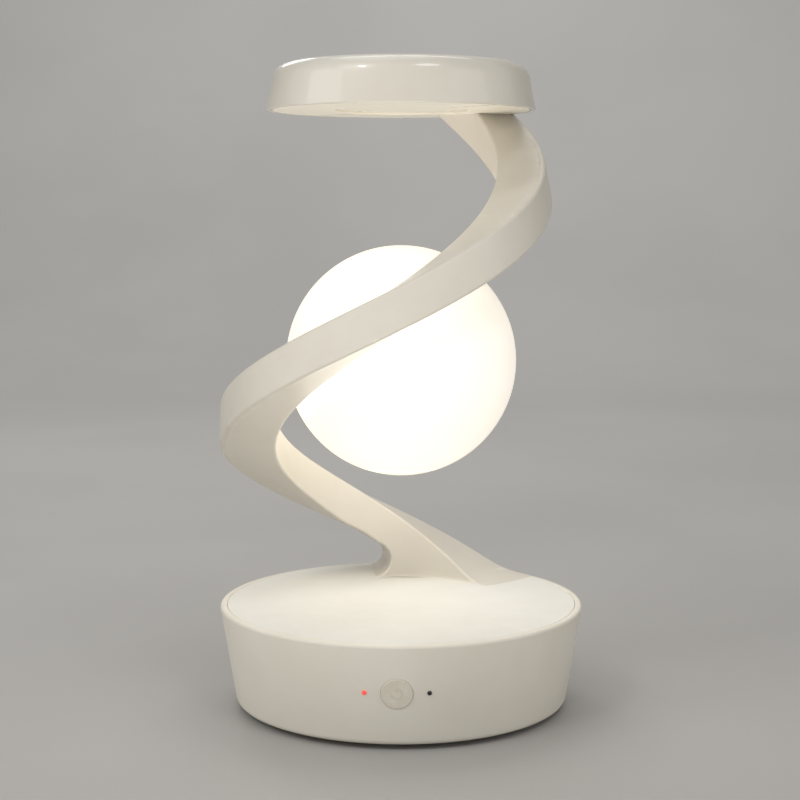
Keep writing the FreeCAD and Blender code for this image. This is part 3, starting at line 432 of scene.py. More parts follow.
def edge_rub():
    """Corners that hands have polished, found from how the surface bends."""
    group, given, out = new_effect(
        "edge_rub",
        [("Low", 0.52), ("High", 0.62), ("Break Scale", 240.0)],
        ["Rub"],
    )
    surface = group.nodes.new("ShaderNodeNewGeometry")
    spread = group.nodes.new("ShaderNodeMapRange")
    spread.interpolation_type = "SMOOTHSTEP"
    group.links.new(surface.outputs["Pointiness"], spread.inputs["Value"])
    group.links.new(given.outputs["Low"], spread.inputs["From Min"])
    group.links.new(given.outputs["High"], spread.inputs["From Max"])
    patches = noise(group, given.outputs["Vector"], given.outputs["Break Scale"], 3.0)
    broken = ramp(group, patches, 0.3, 0.6)
    group.links.new(math_step(group, "MULTIPLY", spread.outputs["Result"], broken), out.inputs["Rub"])
    return group


GRAIN = moulded_grain()
DUST = settled_dust()
RUB = edge_rub()

# ---- finishes -----------------------------------------------------------------------------------

# Noise is read away from the object's own middle planes, where its cells meet.
GRAIN_ORIGIN = (1.37, 2.91, 0.73)
PLASTIC_IOR = 1.49
COAT_ROUGHNESS = 0.06


def start_finish(name):
    """An empty material with its shader, output and object coordinates."""
    finish = bpy.data.materials.new(name)
    finish.use_nodes = True
    tree = finish.node_tree
    tree.nodes.clear()
    output = tree.nodes.new("ShaderNodeOutputMaterial")
    shader = tree.nodes.new("ShaderNodeBsdfPrincipled")
    tree.links.new(shader.outputs["BSDF"], output.inputs["Surface"])
    place = tree.nodes.new("ShaderNodeTexCoord")
    shifted = tree.nodes.new("ShaderNodeVectorMath")
    shifted.operation = "ADD"
    shifted.inputs[1].default_value = GRAIN_ORIGIN
    tree.links.new(place.outputs["Object"], shifted.inputs[0])
    return finish, tree, shader, shifted.outputs["Vector"]


def effect(tree, group, vector, **numbers):
    """Place a shared effect in a material with values of its own."""
    step = tree.nodes.new("ShaderNodeGroup")
    step.node_tree = group
    tree.links.new(vector, step.inputs["Vector"])
    for label, value in numbers.items():
        step.inputs[label.replace("_", " ")].default_value = value
    return step


def blend(tree, share, first, second):
    """Mix two colours, given as values or sockets, by a share."""
    mix = tree.nodes.new("ShaderNodeMix")
    mix.data_type = "RGBA"
    tree.links.new(share, mix.inputs["Factor"])
    for label, value in (("A", first), ("B", second)):
        socket = [item for item in mix.inputs if item.name == label and item.type == "RGBA"][0]
        if isinstance(value, bpy.types.NodeSocket):
            tree.links.new(value, socket)
        else:
            socket.default_value = value
    return [item for item in mix.outputs if item.type == "RGBA"][0]


def bump(tree, shader, height, depth):
    """Raise the surface by a height of so many millimetres."""
    relief = tree.nodes.new("ShaderNodeBump")
    relief.inputs["Strength"].default_value = 1.0
    relief.inputs["Distance"].default_value = depth * MM
    tree.links.new(height, relief.inputs["Height"])
    tree.links.new(relief.outputs["Normal"], shader.inputs["Normal"])


RUBBED_RESIN = colour(236, 232, 222)
DUST_GREY = colour(214, 210, 202)


def moulded_plastic(
    name, tone, shade, rough, grain_depth, grain_scale=2600.0, dust=0.12, coat=0.0, polish=0.06
):
    """Satin moulded plastic: resin mottle, fine grain, polish marks, rubbed corners and dust."""
    finish, tree, shader, vector = start_finish(name)
    grain = effect(tree, GRAIN, vector, Grain_Scale=grain_scale)
    dusty = effect(tree, DUST, vector, Amount=dust)
    rub = effect(tree, RUB, vector)
    resin = blend(tree, grain.outputs["Mottle"], shade, tone)
    worn = blend(tree, math_step(tree, "MULTIPLY", rub.outputs["Rub"], 0.35), resin, RUBBED_RESIN)
    covered = blend(tree, dusty.outputs["Dust"], worn, DUST_GREY)
    tree.links.new(covered, shader.inputs["Base Color"])
    shine = math_step(tree, "MULTIPLY_ADD", grain.outputs["Polish"], -polish, rough)
    rubbed = math_step(tree, "MULTIPLY_ADD", rub.outputs["Rub"], -0.10, shine)
    dulled = math_step(tree, "MULTIPLY_ADD", dusty.outputs["Dust"], 0.5, rubbed)
    tree.links.new(dulled, shader.inputs["Roughness"])
    bump(tree, shader, grain.outputs["Grain"], grain_depth)
    shader.inputs["IOR"].default_value = PLASTIC_IOR
    if coat:
        shader.inputs["Coat Weight"].default_value = coat
        shader.inputs["Coat Roughness"].default_value = COAT_ROUGHNESS
    return finish


def metal(name, tone, shade, rough, scale=700.0):
    """Machined or drawn metal with fine scratches and slight staining."""
    finish, tree, shader, vector = start_finish(name)
    grain = effect(tree, GRAIN, vector, Grain_Scale=scale, Polish_Scale=300.0)
    tree.links.new(blend(tree, grain.outputs["Mottle"], shade, tone), shader.inputs["Base Color"])
    scratched = math_step(tree, "MULTIPLY_ADD", grain.outputs["Polish"], 0.18, rough)
    tree.links.new(scratched, shader.inputs["Roughness"])
    shader.inputs["Metallic"].default_value = 1.0
    bump(tree, shader, grain.outputs["Grain"], 0.008)
    return finish


def glowing(name, tone, glow, strength, seen, rough=0.4):
    """A diffuser with a light behind it, a little uneven, that is seen less bright than it shines."""
    finish, tree, shader, vector = start_finish(name)
    grain = effect(tree, GRAIN, vector, Grain_Scale=1800.0, Mottle_Scale=14.0)
    body = blend(tree, grain.outputs["Mottle"], tone, glow)
    tree.links.new(body, shader.inputs["Base Color"])
    tree.links.new(blend(tree, grain.outputs["Mottle"], glow, tone), shader.inputs["Emission Color"])
    path = tree.nodes.new("ShaderNodeLightPath")
    power = math_step(tree, "MULTIPLY_ADD", path.outputs["Is Camera Ray"], seen - strength, strength)
    tree.links.new(power, shader.inputs["Emission Strength"])
    polished = math_step(tree, "MULTIPLY_ADD", grain.outputs["Polish"], -0.08, rough)
    tree.links.new(polished, shader.inputs["Roughness"])
    bump(tree, shader, grain.outputs["Grain"], 0.01)
    return finish


CREAM = colour(213, 208, 197)
CREAM_SHADE = colour(208, 202, 191)
SATIN_BASE = moulded_plastic("satin_base", colour(230, 225, 214), colour(226, 220, 208), 0.50, 0.012)
CHARGING_FACE = moulded_plastic(
    "charging_face", colour(228, 227, 221), colour(224, 222, 215), 0.62, 0.02, 1800.0
)
ARM_SATIN = moulded_plastic("arm_satin", CREAM, CREAM_SHADE, 0.46, 0.010)
STRIP_SATIN = moulded_plastic("arm_strip_satin", CREAM, CREAM_SHADE, 0.44, 0.010)
CANOPY_COAT = moulded_plastic(
    "canopy_coat", CREAM, CREAM_SHADE, 0.42, 0.006, dust=0.1, coat=0.7
)
# The underside's cream is partly real and partly painted light: it is made lighter than the canopy's cream
# to stand in for the globe's glow falling on the underside.
CANOPY_UNDER_PAINTED_GLOW = moulded_plastic(
    "canopy_under_painted_glow", colour(235, 230, 217), colour(231, 225, 211), 0.34, 0.001, dust=0.1, polish=0.02
)
UNDER_COVER = moulded_plastic("under_cover", colour(206, 199, 186), colour(200, 192, 178), 0.6, 0.03, 1500.0)
BUTTON_SATIN = moulded_plastic("button_satin", colour(222, 215, 200), CREAM_SHADE, 0.42, 0.008)
SOFT_FOOT = moulded_plastic("soft_foot", colour(120, 116, 110), colour(106, 103, 98), 0.75, 0.03, 1400.0)
GLOBE_GLOW = glowing(
    "globe_glow", colour(255, 249, 238), colour(255, 248, 236), strength=1.95, seen=0.42
)
RED_GLOW = glowing(
    "red_glow", colour(214, 70, 62), colour(226, 84, 74), strength=0.9, seen=0.7, rough=0.3
)
DARK_WINDOW = moulded_plastic("dark_window", colour(38, 36, 32), colour(30, 29, 27), 0.25, 0.004)
STEEL = metal("screw_steel", colour(196, 196, 194), colour(170, 170, 168), 0.28)
COPPER = metal("winding_copper", colour(200, 120, 80), colour(176, 98, 62), 0.35)
IRON = metal("core_iron", colour(120, 120, 122), colour(98, 98, 100), 0.45)
MAGNET = metal("magnet_nickel", colour(190, 188, 182), colour(168, 166, 160), 0.22)
FERRITE = moulded_plastic("ferrite_tile", colour(58, 56, 56), colour(48, 46, 46), 0.7, 0.03, 900.0)
BOARD = moulded_plastic("board_resin", colour(30, 82, 60), colour(24, 70, 52), 0.4, 0.02, 1200.0)
CHIPS = moulded_plastic("chip_bodies", colour(48, 48, 50), colour(38, 38, 40), 0.55, 0.02)
WHITE_FRAME = moulded_plastic("white_frame", colour(232, 230, 224), colour(224, 221, 214), 0.5, 0.015)
LEAD_JACKET = moulded_plastic("lead_jacket", colour(70, 68, 66), colour(58, 56, 54), 0.6, 0.02)
LED_CHIP = moulded_plastic("led_chip", colour(244, 222, 150), colour(236, 210, 130), 0.35, 0.01)

NODE_FINISHES = {
    "base_plastic": SATIN_BASE,
    "charging_top": CHARGING_FACE,
    "cover_plastic": UNDER_COVER,
    "foot_rubber": SOFT_FOOT,
    "steel": STEEL,
    "copper": COPPER,
    "ferrite": FERRITE,
    "circuit_board": BOARD,
    "components": CHIPS,
    "button_plastic": BUTTON_SATIN,
    "red_pipe": RED_GLOW,
    "dark_pipe": DARK_WINDOW,
    "arm_plastic": ARM_SATIN,
    "canopy_plastic": CANOPY_COAT,
    "canopy_cover": CANOPY_UNDER_PAINTED_GLOW,
    "globe_opal": GLOBE_GLOW,
    "iron": IRON,
    "magnet": MAGNET,
    "lead_jacket": LEAD_JACKET,
    "white_frame": WHITE_FRAME,
    "led": LED_CHIP,
}

for part in frame["record"]["subparts"]:
    part_object = frame["nodes"][part["node"]]
    for part_slot in part_object.material_slots:
        part_slot.material = NODE_FINISHES[part["material_slot"]]

# ---- base ---------------------------------------------------------------------------------------

def control_place(x, height):
    """A placement on the front wall: X to the right, Y up the wall, Z out of it."""
    turn = Matrix.Rotation(math.radians(90) + TAPER, 4, "X")
    up = Vector((0.0, -math.sin(TAPER), math.cos(TAPER)))
    origin = Vector((0.0, -wall_radius(CONTROL_HEIGHT), CONTROL_HEIGHT)) + up * height
    return Matrix.Translation((Vector((x, 0.0, 0.0)) + origin) * MM) @ turn


def drill(x, radius, sides=SMALL_ROUND):
    """A round cutter through the wall along its normal."""
    low, high = HOLE_REACH
    outline = [(0.0, low), (radius, low), (radius, high), (0.0, high)]
    return moved(turned("drill", outline, sides), control_place(x, 0.0))


def port_outline(half_width, half_height, radius, steps=6):
    """A rounded oblong in (x, y), anticlockwise."""
    corners = [
        (half_width, half_height),
        (-half_width, half_height),
        (-half_width, -half_height),
        (half_width, -half_height),
    ]
    points = []
    for number, (x, y) in enumerate(corners):
        middle_x = x - math.copysign(radius, x)
        middle_y = y - math.copysign(radius, y)
        for step in range(steps + 1):
            angle = math.radians(90 * number + 90 * step / steps)
            points.append((middle_x + radius * math.cos(angle), middle_y + radius * math.sin(angle)))
    return points


def on_screw_circle(quarter):
    """Where one of the cover's screws stands."""
    angle = math.radians(45 + 90 * quarter)
    return Vector((SCREW_CIRCLE * math.cos(angle), SCREW_CIRCLE * math.sin(angle), 0.0)) * MM


PORT_POINT = Vector((0.0, PORT_MOUTH, PORT_HEIGHT)) * MM
PORT_PLACE = Matrix.Translation(PORT_POINT) @ Matrix.Rotation(math.radians(-90), 4, "X")


def make_base_shell():
    """The tapered wall with the charging plate's seat, the front holes and the port's hole."""
    inner = BASE_WALL / math.cos(TAPER)
    outline = [
        (HEM_RADIUS - inner, HEM_HEIGHT, 0.3),
        (HEM_RADIUS, HEM_HEIGHT, 2.0),
        (RIM_RADIUS, BASE_TOP, 1.0),
        (TOP_RADIUS + TOP_SEAM, BASE_TOP, 0.25),
        (TOP_RADIUS + TOP_SEAM, BASE_TOP - TOP_THICKNESS),
        (LEDGE_RADIUS, BASE_TOP - TOP_THICKNESS),
        (LEDGE_RADIUS, BASE_TOP - TOP_THICKNESS - 2.0),
        (wall_radius(SHELL_INSIDE_TOP) - inner, SHELL_INSIDE_TOP),
    ]
    shell = turned("base_shell_skin", rounded(outline), FINE_ROUND)
    button_hole = drill(0.0, BUTTON_RADIUS + BUTTON_GAP, BUTTON_ROUND)
    red_hole = drill(-PIPE_PITCH, PIPE_RADIUS + PIPE_GAP)
    dark_hole = drill(PIPE_PITCH, PIPE_RADIUS + PIPE_GAP)
    port_edge = port_outline(PORT_HALF_WIDTH + PORT_WALL, PORT_HALF_HEIGHT + PORT_WALL, 1.7)
    port_hole = moved(raised("port_cutter", port_edge, -8.0, 6.0), PORT_PLACE)
    carved(shell, button_hole, red_hole, dark_hole, port_hole)
    return settled(shell, SATIN_BASE, "stand", "base_plastic", "base_shell")


def make_charging_top():
    """The flat plate that a phone lies on."""
    low = BASE_TOP - TOP_THICKNESS
    outline = [
        (0.0, low),
        (TOP_RADIUS, low, 0.2),
        (TOP_RADIUS, BASE_TOP, 0.3),
        (0.0, BASE_TOP),
    ]
    top = turned("charging_top_skin", rounded(outline), FINE_ROUND)
    return settled(top, CHARGING_FACE, "stand", "charging_top", "charging_top_plate")


def make_base_cover():
    """The cover under the base: a moulded line, the foot's seat and sinks for the screws."""
    outline = [
        (0.0, HEM_HEIGHT),
        (COVER_LINE, HEM_HEIGHT),
        (COVER_LINE + 0.3, HEM_HEIGHT + COVER_LINE_DEPTH),
        (COVER_LINE + 1.0, HEM_HEIGHT + COVER_LINE_DEPTH),
        (COVER_LINE + 1.3, HEM_HEIGHT),
        (FOOT_INNER - 0.1, HEM_HEIGHT),
        (FOOT_INNER - 0.1, FOOT_TOP),
        (FOOT_OUTER + 0.1, FOOT_TOP),
        (FOOT_OUTER + 0.1, HEM_HEIGHT),
        (COVER_RADIUS, HEM_HEIGHT, 0.3),
        (COVER_RADIUS, COVER_TOP),
        (0.0, COVER_TOP),
    ]
    cover = turned("base_cover_skin", rounded(outline))
    sink_outline = [(0.0, 1.0), (3.1, 1.0), (2.9, SINK_TOP), (0.0, SINK_TOP)]
    sinks = []
    for quarter in range(SCREW_COUNT):
        sink = turned("sink", sink_outline, SMALL_ROUND)
        sinks.append(moved(sink, Matrix.Translation(on_screw_circle(quarter))))
    carved(cover, *sinks)
    return settled(cover, UNDER_COVER, "stand", "cover_plastic", "base_bottom_cover")


def make_foot_ring():
    """A soft ring with a groove along the middle of its sole."""
    outline = [
        (FOOT_INNER, 0.0, 0.7),
        (FOOT_GROOVE - 0.7, 0.0, 0.15),
        (FOOT_GROOVE - 0.4, FOOT_GROOVE_DEPTH, 0.12),
        (FOOT_GROOVE + 0.4, FOOT_GROOVE_DEPTH, 0.12),
        (FOOT_GROOVE + 0.7, 0.0, 0.15),
        (FOOT_OUTER, 0.0, 0.7),
        (FOOT_OUTER, FOOT_TOP),
        (FOOT_INNER, FOOT_TOP),
    ]
    foot = turned("foot_ring_skin", rounded(outline, 4))
    return settled(foot, SOFT_FOOT, "stand", "foot_rubber", "foot_ring")


def make_cover_screws():
    """Cross-head screws, each turned in by a different amount."""
    outline = [
        (0.0, 2.15),
        (SCREW_HEAD, 2.15, 0.25),
        (SCREW_HEAD, SINK_TOP),
        (SCREW_SHANK, SINK_TOP),
        (SCREW_SHANK, SCREW_TOP, 0.3),
        (0.0, SCREW_TOP),
    ]
    screw = turned("cover_screw", rounded(outline, 3), SMALL_ROUND)
    half_length, half_width = (side / 2 for side in SCREW_SLOT)
    slot_points = [
        (-half_length, -half_width),
        (half_length, -half_width),
        (half_length, half_width),
        (-half_length, half_width),
    ]
    for turn in (20, 110):
        slot = raised("slot", slot_points, 1.8, 2.85)
        carved(screw, moved(slot, Matrix.Rotation(math.radians(turn), 4, "Z")))
    screws = []
    for quarter in range(SCREW_COUNT):
        copy = doubled(screw, "cover_screw_%d" % quarter)
        turn = Matrix.Rotation(math.radians(37 * quarter), 4, "Z")
        screws.append(moved(copy, Matrix.Translation(on_screw_circle(quarter)) @ turn))
    bpy.data.objects.remove(screw, do_unlink=True)
    return settled(joined("cover_screws_set", screws), STEEL, "stand", "steel", "base_cover_screws")


def make_port():
    """The metal mouth of the port with the tongue inside it."""
    shell = raised("port_shell", port_outline(PORT_HALF_WIDTH, PORT_HALF_HEIGHT, 1.5), -7.4, 0.0)
    mouth = port_outline(PORT_HALF_WIDTH - PORT_WALL, PORT_HALF_HEIGHT - PORT_WALL, 1.25)
    carved(shell, raised("port_hollow", mouth, -6.4, 1.0))
    tongue = raised("port_tongue", port_outline(3.35, 0.35, 0.3), -6.6, -1.0)
    port = joined("power_port_skin", [shell, tongue])
    moved(port, PORT_PLACE)
    return settled(port, STEEL, "stand", "steel", "usb_c_receptacle")


def make_button():
    """A slightly dished button with a flange behind the wall and a sunk ring-and-bar mark."""
    outline = [
        (0.0, BUTTON_BACK),
        (BUTTON_FLANGE, BUTTON_BACK),
        (BUTTON_FLANGE, BUTTON_BACK + 0.8),
        (BUTTON_RADIUS, BUTTON_BACK + 0.8),
        (BUTTON_RADIUS, 0.35, 0.3),
        (4.2, 0.28),
        (0.0, 0.20),
    ]
    button = turned("power_button_skin", rounded(outline), BUTTON_ROUND)
    release()
    bpy.ops.mesh.primitive_plane_add(size=1.0)
    mark = bpy.context.object
    start = math.radians(90 + MARK_OPENING / 2)
    mark.scale = (MARK_WIDTH * MM, 0.6 * MM, 1.0)
    mark.rotation_euler = (math.radians(90), 0.0, start)
    mark.location = (MARK_RADIUS * MM * math.cos(start), MARK_RADIUS * MM * math.sin(start), 0.4 * MM)
    bpy.ops.object.transform_apply(location=True, rotation=True, scale=True)
    open_up(mark, "FACE")
    bpy.ops.mesh.select_all(action="SELECT")
    sweep = math.radians(360 - MARK_OPENING)
    bpy.ops.mesh.spin(steps=40, angle=sweep, center=(0, 0, 0), axis=(0, 0, 1))
    close_up(mark)
    side = MARK_WIDTH / 2
    bar = raised("mark_bar", [(-side, 0.55), (side, 0.55), (side, 2.6), (-side, 2.6)], 0.1, 0.7)
    carved(button, mark, bar)
    moved(button, control_place(0.0, 0.0))
    return settled(button, BUTTON_SATIN, "button", "button_plastic", "power_button")


def make_light_pipe(name, x, finish, slot, node_name):
    """A small round window, a little below the wall's surface."""
    outline = [
        (0.0, PIPE_BACK),
        (PIPE_RADIUS, PIPE_BACK),
        (PIPE_RADIUS, -0.55, 0.2),
        (0.5, -0.45),
        (0.0, -0.43),
    ]
    pipe = turned(name, rounded(outline, 4), 48)
    moved(pipe, control_place(x, 0.0))
    return settled(pipe, finish, "stand", slot, node_name)


make_base_shell()
make_charging_top()
make_base_cover()
make_foot_ring()
make_cover_screws()
make_port()
make_button()
make_light_pipe("red_light_window", -PIPE_PITCH, RED_GLOW, "red_pipe", "power_light_pipe")
make_light_pipe("dark_light_window", PIPE_PITCH, DARK_WINDOW, "dark_pipe", "status_light_pipe")

# ---- canopy -------------------------------------------------------------------------------------

def make_canopy_shell():
    """A shallow bowl, upside down, with a broad round shoulder."""
    outline = [
        (CANOPY_COVER_RADIUS + 0.15, CANOPY_UNDERSIDE, 0.2),
        (CANOPY_RIM, CANOPY_UNDERSIDE, 0.5),
        (CANOPY_SHOULDER, CANOPY_TOP, CANOPY_ROUNDING),
        (0.0, CANOPY_TOP),
        (0.0, CANOPY_TOP - CANOPY_WALL),
        (CANOPY_SHOULDER - 2.4, CANOPY_TOP - CANOPY_WALL, CANOPY_ROUNDING - CANOPY_WALL),
        (CANOPY_INSIDE, CANOPY_UNDERSIDE + 4.0),
        (CANOPY_INSIDE, CANOPY_UNDERSIDE + CANOPY_WALL),
        (CANOPY_COVER_RADIUS + 0.15, CANOPY_UNDERSIDE + CANOPY_WALL),
    ]
    shell = turned("canopy_shell_skin", rounded(outline, 10, 0.15), FINE_ROUND)
    return settled(shell, CANOPY_COAT, "stand", "canopy_plastic", "canopy_shell")


def make_canopy_cover():
    """The ring that closes the canopy from below."""
    high = CANOPY_UNDERSIDE + CANOPY_WALL
    outline = [
        (CANOPY_WINDOW, CANOPY_UNDERSIDE, 0.3),
        (CANOPY_COVER_RADIUS, CANOPY_UNDERSIDE, 0.3),
        (CANOPY_COVER_RADIUS, high),
        (CANOPY_WINDOW, high),
    ]
    cover = turned("canopy_cover_skin", rounded(outline), FINE_ROUND)
    return settled(cover, CANOPY_UNDER_PAINTED_GLOW, "stand", "canopy_cover", "canopy_cover")


def make_centre_cap():
    """The disc in the ring's round window, a little deeper than the ring."""
    low = CANOPY_UNDERSIDE + CANOPY_RECESS
    outline = [
        (0.0, low),
        (CANOPY_WINDOW - 0.1, low, 0.2),
        (CANOPY_WINDOW - 0.1, low + 1.2),
        (0.0, low + 1.2),
    ]
    cap = turned("canopy_centre_skin", rounded(outline))
    return settled(cap, CANOPY_UNDER_PAINTED_GLOW, "stand", "canopy_cover", "canopy_centre_cap")


make_canopy_shell()
make_canopy_cover()
make_centre_cap()

# ---- globe --------------------------------------------------------------------------------------

def globe_arc(radius, first, last, steps):
    """Points on the globe's outline between two angles measured from straight down."""
    points = []
    for step in range(steps + 1):
        angle = math.radians(first + (last - first) * step / steps)
        points.append((radius * math.sin(angle), GLOBE_HEIGHT - radius * math.cos(angle)))
    return points


def make_globe():
    """A hollow ball, open below."""
    mouth = math.degrees(math.asin(GLOBE_MOUTH / GLOBE_RADIUS))
    inside = GLOBE_RADIUS - GLOBE_WALL
    inner_mouth = math.degrees(math.asin(GLOBE_MOUTH / inside))
    outline = globe_arc(GLOBE_RADIUS, mouth + 0.4, 180.0, 80) + globe_arc(inside, 180.0, inner_mouth, 30)
    globe = turned("globe_skin", outline, ROUND)
    return settled(globe, GLOBE_GLOW, "globe", "globe_opal", "globe_shell", degrees=GLOBE_SMOOTH_ANGLE)


def make_globe_cap():
    """The round cap that closes the ball."""
    mouth = math.degrees(math.asin((GLOBE_MOUTH - 0.15) / GLOBE_RADIUS))
    outline = globe_arc(GLOBE_RADIUS, 0.0, mouth - 0.3, 16)
    rim_radius, rim_height = outline[-1]
    high = GLOBE_HEIGHT - GLOBE_CAP_DEPTH
    outline += [
        (rim_radius + 0.12, rim_height + 0.25),
        (GLOBE_MOUTH - 0.15, high),
        (0.0, high),
    ]
    cap = turned("globe_cap_skin", outline, ROUND)
    return settled(cap, GLOBE_GLOW, "globe", "globe_opal", "globe_cap", degrees=GLOBE_SMOOTH_ANGLE)


make_globe()
make_globe_cap()

# ---- spiral arm ---------------------------------------------------------------------------------
# The arm is modelled unrolled: its length lies along X, its width along Y from the outer face, and
# its height along Z.  Every corner is then carried to its place round the globe.

ARM_ROLL_RADIUS = 57.0
ARM_WIDTH = 20.0
ARM_TOE = 52.3
ARM_FIRST = 36.0
ARM_LAST = 428.0
ARM_STEP = 2.0
ARM_EDGE = 1.0
ARM_INSET = 0.3
ARM_KEEP = 3.0
ARM_LINES = (ARM_EDGE + ARM_INSET, 5.0, ARM_WIDTH - 5.0, ARM_WIDTH - ARM_EDGE - ARM_INSET)
ARM_LEVELS = (0.02, 0.15, 0.4, 1.0, 2.5, 5.0, 9.0, 14.0, 20.0)
ARM_SIDE_CORNERS = 100
ARM_TOE_EASE = 3.0
ARM_RISE = 0.597
ARM_SAG = 0.00012
ARM_DEPTH_OUTSIDE = 17.0
ARM_DEPTH_INSIDE = 17.8
ARM_THINNING = 0.0069
ARM_OUTER_FACE = 69.95
ARM_INNER_FACE = 41.6
TWIST_DEPTH = 1.2
TWIST_ANGLE = 151.0
TWIST_RATE = 1.5
WAVE_START = 50.0
WAVE_END = 175.0
GLOBE_ROOM = 6.8
GLOBE_ROOM_HEIGHT = 37.0
GLOBE_ROOM_EASE = 8.0

# An amount, and the angles between which it fades away.
TOP_LAG = (1.0, 100.0, 150.0)
TOP_LEAD = (4.2, WAVE_END, 250.0)
LOW_DIP = (0.75, 130.0, 170.0)
LOW_HOOK = (2.0, 97.0, 111.0)
LOW_LIFT = (2.0, 108.0, 128.0)

# A slope, the height from which a face leans in, and how gently it starts.
OUTER_LEAN = (0.2, 90.0, 15.0)
INNER_LEAN = (0.17, 97.0, 12.0)

FREE_START = 104.0
COVER_START = 113.8
COVER_THICKNESS = 2.0
COVER_SEAM = 0.06
COVER_BLOCK = {"outside": -2.0, "low": -20.0, "high": 260.0, "past": 5.0}
FOOT_DEPTH = 3.0
FOOT_FLARE = 0.9
GAP_LIFT = 0.2
GAP_OUTSIDE = {"angle": 101.9, "radius": 4.8, "face": ARM_OUTER_FACE, "meets": 110.0}
GAP_INSIDE = {"angle": 106.8, "radius": 7.2, "face": ARM_INNER_FACE, "meets": 110.0}
GAP_STEPS = 18
GAP_FLOOR = 262.0


def soft_ramp(distance, ease):
    """Zero before a bend and a straight line after it, with a gentle turn between."""
    return ease * math.log1p(math.exp(distance / ease))


def eased(value, low, high):
    """A smooth step from 0 to 1."""
    share = min(max((value - low) / (high - low), 0.0), 1.0)
    return share * share * (3.0 - 2.0 * share)


def fading(angle, amount, start, end):
    """An amount that fades away between two angles."""
    return amount * (1.0 - eased(angle, start, end))


def leaning(height, slope, start, ease):
    """How far a face leans in at a height."""
    return slope * soft_ramp(height - start, ease)


def arm_top(angle):
    """Mean height of the arm's upper face over the charging top."""
    return ARM_RISE * soft_ramp(angle - ARM_TOE, ARM_TOE_EASE) - ARM_SAG * (angle - ARM_TOE) ** 2


def arm_top_outside(angle):
    """The outer upper edge lags a little near the foot."""
    return arm_top(angle - fading(angle, *TOP_LAG))


def arm_top_inside(angle):
    """The inner upper edge leads near the foot and falls back behind it."""
    wave = math.cos(math.pi * (min(angle, WAVE_END) - WAVE_START) / (WAVE_END - WAVE_START))
    return arm_top(angle + wave * fading(angle, *TOP_LEAD))


def arm_low_outside(angle):
    """The outer lower edge, which dips where the arm comes free."""
    low = arm_top(angle) - ARM_DEPTH_OUTSIDE + ARM_THINNING * (angle - ARM_TOE)
    return low - fading(angle, *LOW_DIP) - fading(angle, *LOW_HOOK)


def arm_low_inside(angle):
    """The inner lower edge, which twists about the outer one and lifts at the gap."""
    twist = TWIST_DEPTH * math.cos(math.radians((angle - TWIST_ANGLE) * TWIST_RATE))
    return arm_top(angle) - ARM_DEPTH_INSIDE - twist + fading(angle, *LOW_LIFT)


def arm_outer_radius(height):
    """The outer face stands upright and leans in above the globe's middle."""
    return ARM_OUTER_FACE - leaning(height, *OUTER_LEAN)


def arm_inner_radius(height):
    """The inner face makes room for the globe, then leans in too."""
    room = GLOBE_ROOM / (1.0 + math.exp((GLOBE_ROOM_HEIGHT - height) / GLOBE_ROOM_EASE))
    return ARM_INNER_FACE + room - leaning(height, *INNER_LEAN)


def unrolled(angle):
    """How far along the unrolled arm an angle lies, from the middle of the inner gap."""
    return math.radians(angle - GAP_INSIDE["angle"]) * ARM_ROLL_RADIUS


def foot_flare(height):
    """How far the inner wall of the foot runs out where it meets the charging top."""
    rest = min(max(FOOT_FLARE - height, 0.0), FOOT_FLARE)
    return FOOT_FLARE - math.sqrt(FOOT_FLARE ** 2 - rest ** 2)


def rolled_up(point):
    """The place on the lamp of a point of the unrolled arm."""
    along, across, height = (value / MM for value in point)
    outer = arm_outer_radius(height)
    width = outer - arm_inner_radius(height) + foot_flare(height)
    if across <= ARM_KEEP:
        depth = across
    elif across >= ARM_WIDTH - ARM_KEEP:
        depth = width - (ARM_WIDTH - across)
    else:
        share = (across - ARM_KEEP) / (ARM_WIDTH - 2 * ARM_KEEP)
        depth = ARM_KEEP + share * (width - 2 * ARM_KEEP)
    radius = outer - depth
    turn = math.radians(GAP_INSIDE["angle"]) + along / ARM_ROLL_RADIUS
    return Vector((radius * math.cos(turn), radius * math.sin(turn), BASE_TOP + height)) * MM


def arm_side(gap, low, high):
    """The outline of one side of the unrolled arm, with the round end of the gap under it."""
    outline = []
    for step in range(GAP_STEPS + 1):
        turn = math.radians(GAP_FLOOR + (gap["meets"] - GAP_FLOOR) * step / GAP_STEPS)
        angle = gap["angle"] + math.degrees(math.asin(gap["radius"] * math.cos(turn) / gap["face"]))
        outline.append((angle, GAP_LIFT + gap["radius"] * (1.0 + math.sin(turn))))
    outline.insert(0, (outline[0][0], -FOOT_DEPTH))
    outline.insert(0, (ARM_FIRST, -FOOT_DEPTH))
    angle = FREE_START
    while angle <= ARM_LAST:
        outline.append((angle, low(angle)))
        angle += ARM_STEP
    while angle > ARM_FIRST:
        angle -= ARM_STEP
        outline.append((angle, high(angle)))
    return [(unrolled(angle) * MM, height * MM) for angle, height in outline]


def slice_across(place, direction):
    """Cut the faces of the open piece along a plane and keep both sides."""
    bpy.ops.mesh.select_all(action="SELECT")
    bpy.ops.mesh.bisect(plane_co=place, plane_no=direction, threshold=CUT_MERGE)


